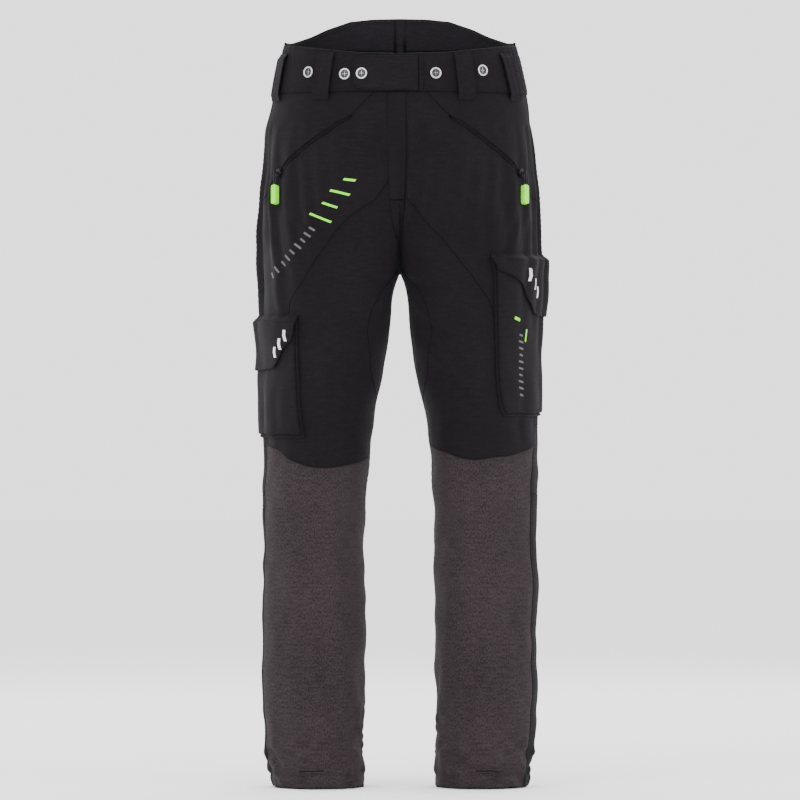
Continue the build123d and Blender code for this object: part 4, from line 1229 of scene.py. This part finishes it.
fly_tapes, fly_teeth, fly_guard = (Maker("fly_tape_cloth", TAPE), Maker("fly_teeth_rows", DARK_METAL),
                                   Maker("fly_shield_cloth", BLACK))
ZIP_X, ZIP_Y = -4.5, -113.4
for s in (-1, 1):
    low, high = sorted((ZIP_X + 0.7 * s, ZIP_X + 5.8 * s))
    upright_strip(fly_tapes, low, high, ZIP_Y - 0.4, ZIP_Y + 0.4, 856, 998)
    for h in np.arange(857 + (s > 0), 997, 2.0):
        inner, outer = sorted((ZIP_X - 0.6 * s, ZIP_X + 2.2 * s))
        upright_strip(fly_teeth, inner, outer, ZIP_Y - 1.1, ZIP_Y + 0.4, h, h + 0.9)
upright_strip(fly_guard, -20, 10, -109, -108, 856, 998)
for m, slot_name, node in ((fly_tapes, "tape", "fly_tape"), (fly_guard, "black_cloth", "fly_shield")):
    declare(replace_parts(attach(m.make(), "trousers"), node), m)
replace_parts(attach(fly_teeth.make(), "trousers"), "fly_teeth")

# ---------------------------------------------------------------- thigh pockets
CARGO = {
    "left": {"top": 762, "foot": 536, "front": [(134, 766), (136.5, 650), (137, 600), (141, 552), (148, 536)],
             "flap": [(138, 748), (160, 740), (176, 728), (188, 706), (196, 684), (240, 668)],
             "bars": [(192, 738), (198, 726), (203, 714)]},
    "right": {"top": 674, "foot": 505,
              "front": [(148, 678), (144.5, 620), (143, 590), (140, 530), (135, 505)],
              "flap": [(149, 650), (163, 642), (174, 628), (179, 614), (184, 604), (240, 596)],
              "bars": [(168, 652), (176, 640), (183, 628)]},
}
POUCH_OUT, FLAP_OUT, POUCH_BACK_Y, FLAP_BACK_Y = 6.3, 8.45, 74.0, 80.0


def flap_low(side, phi):
    """The flap's lower edge at an angle."""
    table = np.array(CARGO[side]["flap"], float)
    h = np.full(len(phi), 690.0)
    for _ in range(8):
        cx, _, a, _ = section(h)
        h = np.interp(cx + (a + 13) * np.cos(phi), table[:, 0], table[:, 1])
    return h


def cargo_pocket(side):
    spec = CARGO[side]
    top, foot = spec["top"], spec["foot"]
    # pouch, with the bellows fold near its edges and an open top
    front = curve(front_points(spec["front"]), 2.4)
    back = angle_line(lambda h: float(phi_at_y(POUCH_BACK_Y, np.array([h]))[0]), foot, top - 4, 2.4)
    bottom = curve([front[-1], back[0]], 2.4)
    head = curve([back[-1], front[0]], 2.4)
    outline = ring(front, bottom, back, head, step=2.4)
    border = np.vstack([front, bottom, back])

    def bellows(flat, d):
        g = gap_to(flat, border[:-1], border[1:])
        fold = 2.6 * smooth(g / 1.5) - 1.6 * np.exp(-(((g - 4.4) / 1.2) ** 2)) + 2.6 * smooth((g - 4.4) / 2.6)
        sag = 0.7 * np.sin(flat[:, 1] * 0.055 + flat[:, 0] * 0.04) * smooth(g / 30)
        return np.minimum(fold + sag, POUCH_OUT - 1.6)

    m = Maker(f"cargo_pouch_{side}_cloth", PANEL, side)
    m.patch(outline, 0.15, 1.3, 3.0, edge=1.0, shape=bellows, rings=(0.7, 1.6, 2.8, 4.6, 6.2))
    # the flap's fixed root, from the panel out over the pouch's mouth
    root_low, root_high = top - 3.0, top + 7.0
    front_phi = float(front_points([spec["front"][0]])[0, 0] / radius_at(float(spec["front"][0][1])))
    back_phi = float(phi_at_y(FLAP_BACK_Y, np.array([float(top)]))[0])

    def ramp(flat, d):
        return (FLAP_OUT - 1.0) * smooth((root_high - 1 - flat[:, 1]) / 7.0)

    m.patch(ring(level_line(root_low, front_phi - 0.02, back_phi, 2.6),
                 level_line(root_high, back_phi, front_phi - 0.02, 2.6)),
            0.1, 1.5, 2.6, edge=1.0, shape=ramp, rings=(0.7, 1.6))
    obj = settle(m.make(), side, "black_cloth", f"cargo_pouch_{side}")
    declare(obj, m)
    t = threads[side]
    fold_line = shift(np.vstack([front, bottom[1:]]), 8.5)
    root_line = level_line(root_high - 1.6, front_phi, back_phi)
    for line, height in ((fold_line, bellows(fold_line, None) + 1.45),
                         (root_line, 1.62 + ramp(root_line, None))):
        pts, n = line_3d(side, line, 0)
        stitch(t, pts + n * height[:, None], n)

    # flap
    phi = np.linspace(back_phi, front_phi - 0.015, 60)
    low = to_flat(phi, flap_low(side, phi))
    flap_top = top - 0.6
    low = curve(low[::3], 2.4)
    shape_line = ring(level_line(flap_top, front_phi - 0.015, back_phi, 2.4), low)
    f = Maker(f"cargo_flap_{side}_cloth", PANEL, side)

    def curl(flat, d):
        reach = np.clip((flap_top - flat[:, 1]) / 60, 0, 1)
        return 0.25 * np.sin(flat[:, 0] * 0.09) * reach

    f.patch(shape_line, FLAP_OUT, 1.6, 2.8, edge=1.8, shape=curl, rings=(0.6, 1.4, 2.6, 4.0))
    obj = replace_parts(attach(f.make(), f"flap_{side}"), f"cargo_flap_{side}")
    declare(obj, f)
    flap_threads = Maker(f"stitching_flap_{side}", THREAD, side)
    for depth in (3.0, 8.0):
        line = shift(low, -depth)
        edge_gap = gap_to(line, shape_line, np.roll(shape_line, -1, axis=0))
        line = line[inside(line, shape_line) & (edge_gap > depth * 0.8)]
        if len(line) > 3:
            pts, n = line_3d(side, line, FLAP_OUT + 1.58)
            stitch(flap_threads, pts, n)
    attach(flap_threads.make(), f"flap_{side}")

    # reflective bars and touch tapes
    bars = Maker(f"flap_bars_{side}", SILVER, side)
    for x, h in spec["bars"]:
        cx, _, a, _ = (float(v) for v in section(float(h)))
        angle = -math.acos(min(0.995, (x - cx) / (a + 14.4)))
        c = to_flat([angle], [h])[0]
        corners = [c + bend for bend in ((-2.6, -8), (2.6, -8), (4.4, 0), (2.6, 8), (-2.6, 8), (-0.8, 0))]
        bars.patch(polygon(corners, 1.6), FLAP_OUT + 1.65, 0.35, 2.0, edge=0.3, rings=(0.5,), pucker=0)
    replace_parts(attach(bars.make(), f"flap_{side}"), f"flap_reflector_{side}")
    y0, y1 = -16.0, 24.0
    h0, h1 = top - 44.0, top - 26.0
    a0, a1 = (float(phi_at_y(v, np.array([(h0 + h1) / 2]))[0]) for v in (y0, y1))
    square = ring(level_line(h0, a0, a1, 2.4), level_line(h1, a1, a0, 2.4), step=2.4)
    hook = Maker(f"flap_hook_tape_{side}_cloth", TAPE, side)
    hook.patch(square, 7.7, 0.7, 2.4, edge=0.6, rings=(0.6,))
    declare(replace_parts(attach(hook.make(), f"flap_{side}"),
                        f"flap_hook_tape_{side}"), hook)
    return square


loop_tapes = Maker("pouch_loop_tapes_cloth", TAPE)
for side_name in SIGN:
    loop_tapes.patch(cargo_pocket(side_name), 6.4, 0.7, 2.4, edge=0.6, rings=(0.6,), side=side_name)
declare(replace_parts(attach(loop_tapes.make(), "trousers"), "pouch_loop_tapes"),
        loop_tapes)

# ---------------------------------------------------------------- linings and what they hide
LINED = {"lift": -10.0, "thick": -1.2, "step": 9.0, "edge": 0, "rings": (), "detail": False, "pucker": 0}
for side_name in SIGN:
    lower_lining = Maker(f"lining_lower_{side_name}_cloth", LINER, side_name)
    lower_lining.patch(ring(angle_line(-math.pi, 14, 470, 8), level_line(470, -math.pi, math.pi, 8),
                            angle_line(math.pi, 470, 14, 8), level_line(14, math.pi, -math.pi, 8), step=8),
                       **LINED)
    obj = settle(lower_lining.make(), side_name, "lining", f"lining_lower_{side_name}")
    declare(obj, lower_lining)
upper_lining = Maker("lining_upper_cloth", LINER)


def set_in(flat, d):
    """The lining keeps clear of the stretch panel as the knee bends, and of the fly's slider."""
    h = flat[:, 1]
    phi = flat[:, 0] / radius_at(h)
    from_centre = section(h)[0] + section(h)[2] * np.cos(phi)
    knee = smooth(np.sin(phi) / 0.4) * smooth((568 - h) / 45)
    fly = smooth(-np.sin(phi) / 0.4) * smooth((34 - from_centre) / 14) * smooth((h - 835) / 15)
    return -9.0 * knee - 4.0 * fly


for side_name in SIGN:
    line = ring(angle_line(-math.pi, 482, CROTCH, 8), angle_line(centre_front, CROTCH, 998, 8),
                level_line(998, centre_front(998), centre_back(998), 8),
                angle_line(centre_back, 998, CROTCH, 8),
                angle_line(math.pi, CROTCH, 482, 8), level_line(482, math.pi, -math.pi, 8), step=8)
    upper_lining.patch(line, side=side_name, shape=set_in, **LINED)
upper_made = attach(upper_lining.make(), "trousers")
declare(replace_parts(upper_made, "lining_upper", "pocket_bags"), upper_lining)

# ---------------------------------------------------------------- bound seam inside, under the crotch
bound = Maker("crotch_binding", TAPE)
half = [line_3d("left", angle_line(edge, low, high, 3.0), -3.2)[0]
        for edge, low, high in ((centre_front, 840, CROTCH + 0.5), (centre_back, CROTCH + 0.5, 990))]
path = np.vstack([half[0], half[1][1:]]) * [0, 1, 1]
path[:, 2] += 3.0 * np.exp(-(((path[:, 2] - path[:, 2].min()) / 12) ** 2))
tube(bound, path, 3.8, 12)
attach(bound.make(), "trousers")

# ---------------------------------------------------------------- hardware that keeps its solids
SNAPS = ((-131, 1031, 1.3), (-79, 1027, 1.3), (51, 1028, 1.3), (118, 1033, 1.3), (-54, 1027, 5.15))


def turned(maker, centre, out, across, profile, around=40):
    """A round piece from (radius, height) pairs, about the outward direction at a centre."""
    up = np.cross(out, across)
    co, faces = [], []
    for k, (r, z) in enumerate(profile):
        for j in range(around):
            t = 2 * math.pi * j / around
            co.append(centre + r * (math.cos(t) * across + math.sin(t) * up) + z * out)
    for k in range(len(profile) - 1):
        for j in range(around):
            n = (j + 1) % around
            faces.append([k * around + j, k * around + n, (k + 1) * around + n, (k + 1) * around + j])
    faces.append([(len(profile) - 1) * around + j for j in range(around)])
    faces.append([j for j in range(around)][::-1])
    maker.add(np.array(co), faces, np.zeros((len(co), 2)), np.zeros(len(co)))


def ring_snap(x, h, lift, body, nodes):
    """A rolled steel ring round a dark cap with a pressed cross."""
    phi = crown_phi(np.array([float(x)]), np.array([float(h)]))
    p, n = surface("left", phi, np.array([float(h)]), lift)
    out = n[0]
    across = np.cross([0, 0, 1.0], out)
    across /= np.linalg.norm(across)
    ring_part = Maker(f"snap_ring_{abs(x)}_{h}", CHROME)
    bend = [(7.0 + 1.4 * math.cos(t), 0.5 + 1.2 * math.sin(t)) for t in np.linspace(-0.45, math.pi + 0.5, 14)]
    turned(ring_part, p[0], out, across, [(8.3, -0.2)] + bend + [(5.5, 0.1)])
    cap = Maker(f"snap_cap_{abs(x)}_{h}", DARK_METAL)
    turned(cap, p[0], out, across, [(5.7, -0.1), (5.7, 0.2), (4.8, 0.35), (0.6, 0.5)], 28)
    cross = Maker(f"snap_cross_{abs(x)}_{h}", CHROME)
    for way in (across, np.cross(out, across)):
        scatter(cross, [p[0] + out * 0.5], [way], [out], 4.4, 0.3, 0.22)
    for m in (ring_part, cap, cross):
        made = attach(m.make(40), body)
        if m is ring_part:
            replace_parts(made, *nodes)


for k, (x, h, lift) in enumerate(SNAPS):
    ring_snap(x, h, lift, "tab" if lift > 2 else "trousers",
              ("tab_snap",) if lift > 2 else ("waistband_snaps",) if k == 0 else ())
stud = Maker("tab_stud", CHROME)
p, n = surface("left", crown_phi(np.array([-54.0]), np.array([1027.0])), np.array([1027.0]), 1.2)
side_way = np.cross([0, 0, 1.0], n[0])
turned(stud, p[0], n[0], side_way / np.linalg.norm(side_way),
       [(3.0, 0), (3.0, 0.6), (2.2, 1.0), (0.4, 1.1)], 24)
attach(stud.make(40), "trousers")

HARDWARE = {"fly_slider": DARK_METAL, "fly_pull": DARK_METAL}
for side_name in SIGN:
    HARDWARE |= {f"hand_zip_slider_{side_name}": DARK_METAL, f"hand_zip_grip_{side_name}": GREEN,
                 f"hand_zip_cord_{side_name}": PLASTIC}
for node, material in HARDWARE.items():
    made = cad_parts[node]
    made.data.materials.clear()
    made.data.materials.append(material)
    made.data.shade_smooth()
    made.data.set_sharp_from_angle(angle=math.radians(35))

# ---------------------------------------------------------------- pads between cloth and lining
for side_name in SIGN:
    seam = side_phi(side_name)
    for name, low, high in (("shin", 60, 460), ("thigh", 480, 838)):
        pad = Maker(f"{name}_pad_{side_name}_block", PAD, side_name)
        inner = -math.pi + 0.25
        edge_line = angle_line(inner, low, min(high, CROTCH), 8)
        if high > CROTCH:
            rise = angle_line(lambda h: centre_front(h) + 0.12, CROTCH + 20, high, 8)
            edge_line = np.vstack([edge_line, rise])
        pad.patch(ring(edge_line, angle_line(seam, high, low, 8), step=8), -9.6, 3.2, 9.0, edge=3.0,
                  rings=(1.0, 3.0), detail=False, pucker=0)
        obj = settle(pad.make(), side_name, "pad", f"{name}_pad_{side_name}")

# ---------------------------------------------------------------- printed marks and threads
mark = {c.name: Maker(f"thigh_mark_{c.name}", c, "right") for c in (GREY_PRINT, GREEN_PRINT)}
start, end = np.array([186.0, 733.0]), np.array([66.0, 884.0])
run = (end - start) / np.hypot(*(end - start))


def dash(maker, side, centre, along, wide, tall, lean, lift=0.06):
    """One printed slanted bar, centred on a flat point."""
    corners = []
    for u, v in ((-wide, -tall), (wide, -tall), (wide, tall), (-wide, tall)):
        corners.append(centre + along * (u + lean * v) + np.array([-along[1], along[0]]) * v)
    maker.patch(polygon(corners, 2.0), lift, 0.08, 3.0, edge=0, rings=(), side=side, pucker=0, back=False)


def thigh_dash(colour, share, tall, lean):
    """A bar at a share of the way along the slanted row on the thigh."""
    x, h = start + (end - start) * share
    c, ahead = front_points([(x, h), (x + run[0], h + run[1])])
    dash(mark[colour], "right", c, (ahead - c) / np.hypot(*(ahead - c)), 1.7, tall, lean)


for k in range(9):
    thigh_dash("grey_print", 0.03 + 0.50 * k / 9, 6.2 if k % 2 else 5.0, 0.25)
for k, tall in enumerate((17.0, 11.0, 14.0, 8.0)):
    thigh_dash("green_print", 0.58 + 0.12 * k, tall, 0.35)
for m in mark.values():
    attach(m.make(), "trousers")
pouch_mark = {c.name: Maker(f"pouch_mark_{c.name}", c, "left") for c in (GREY_PRINT, GREEN_PRINT)}
upwards = np.array([0.0, 1.0])
for k in range(10):
    c = front_points([(171 - 0.02 * k, 566 + 9.6 * k)])[0]
    dash(pouch_mark["grey_print"], "left", c, upwards, 1.5, 5.6 if k % 3 else 4.2, 0.2, lift=6.25)
for x, h, wide, tall in ((165, 676, 2.2, 6.0), (177, 652, 9.0, 1.5)):
    c = front_points([(x, h)])[0]
    dash(pouch_mark["green_print"], "left", c, upwards, wide, tall, 0.3, lift=6.25)
for m in pouch_mark.values():
    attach(m.make(), "trousers")
for side_name, m in threads.items():
    settle(m.make(), side_name, None)
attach(plain_threads.make(), "trousers")


# ---------------------------------------------------------------- studio
def plane(name, size, z, material):
    mesh = bpy.data.meshes.new(name)
    s = size / 2
    mesh.from_pydata([(-s, -s, z), (s, -s, z), (s, s, z), (-s, s, z)], [], [(0, 1, 2, 3)])
    mesh.materials.append(material)
    made = bpy.data.objects.new(name, mesh)
    bpy.context.scene.collection.objects.link(made)
    return made


floor = plane("floor", 40, -BELT_LINE / 1000 - 0.0015, solid_material("backdrop", (0.94, 0.94, 0.94), 0.85))
for name, where, size, power, aim in (("key", (-1.7, -2.6, 1.5), 2.2, 62, (0, 0, -0.45)),
                                      ("fill", (2.3, -2.1, 0.5), 2.4, 40, (0, 0, -0.5)),
                                      ("low", (0.0, -2.8, -0.7), 1.6, 12, (0, 0, -0.7)),
                                      ("back", (0.9, 2.8, 1.6), 2.6, 60, (0, 0, -0.4)),
                                      ("back_low", (-2.2, 1.9, 0.1), 2.0, 30, (0, 0, -0.6))):
    data = bpy.data.lights.new(name, "AREA")
    data.size, data.energy = size, power
    lamp = bpy.data.objects.new(name, data)
    lamp.location = where
    lamp.rotation_euler = (Vector(aim) - Vector(where)).to_track_quat("-Z", "Y").to_euler()
    bpy.context.scene.collection.objects.link(lamp)
world = bpy.data.worlds.new("studio")
world.use_nodes = True
world.node_tree.nodes["Background"].inputs["Color"].default_value = (1, 1, 1, 1)
world.node_tree.nodes["Background"].inputs["Strength"].default_value = 2.1
bpy.context.scene.world = world

camera = bpy.data.objects.new("camera", bpy.data.cameras.new("camera"))
camera.location = (0, -9.0, -0.4703)
camera.rotation_euler = (math.pi / 2, 0, 0)
camera.data.lens, camera.data.sensor_width = 279.3, 36
bpy.context.scene.collection.objects.link(camera)
bpy.context.scene.camera = camera
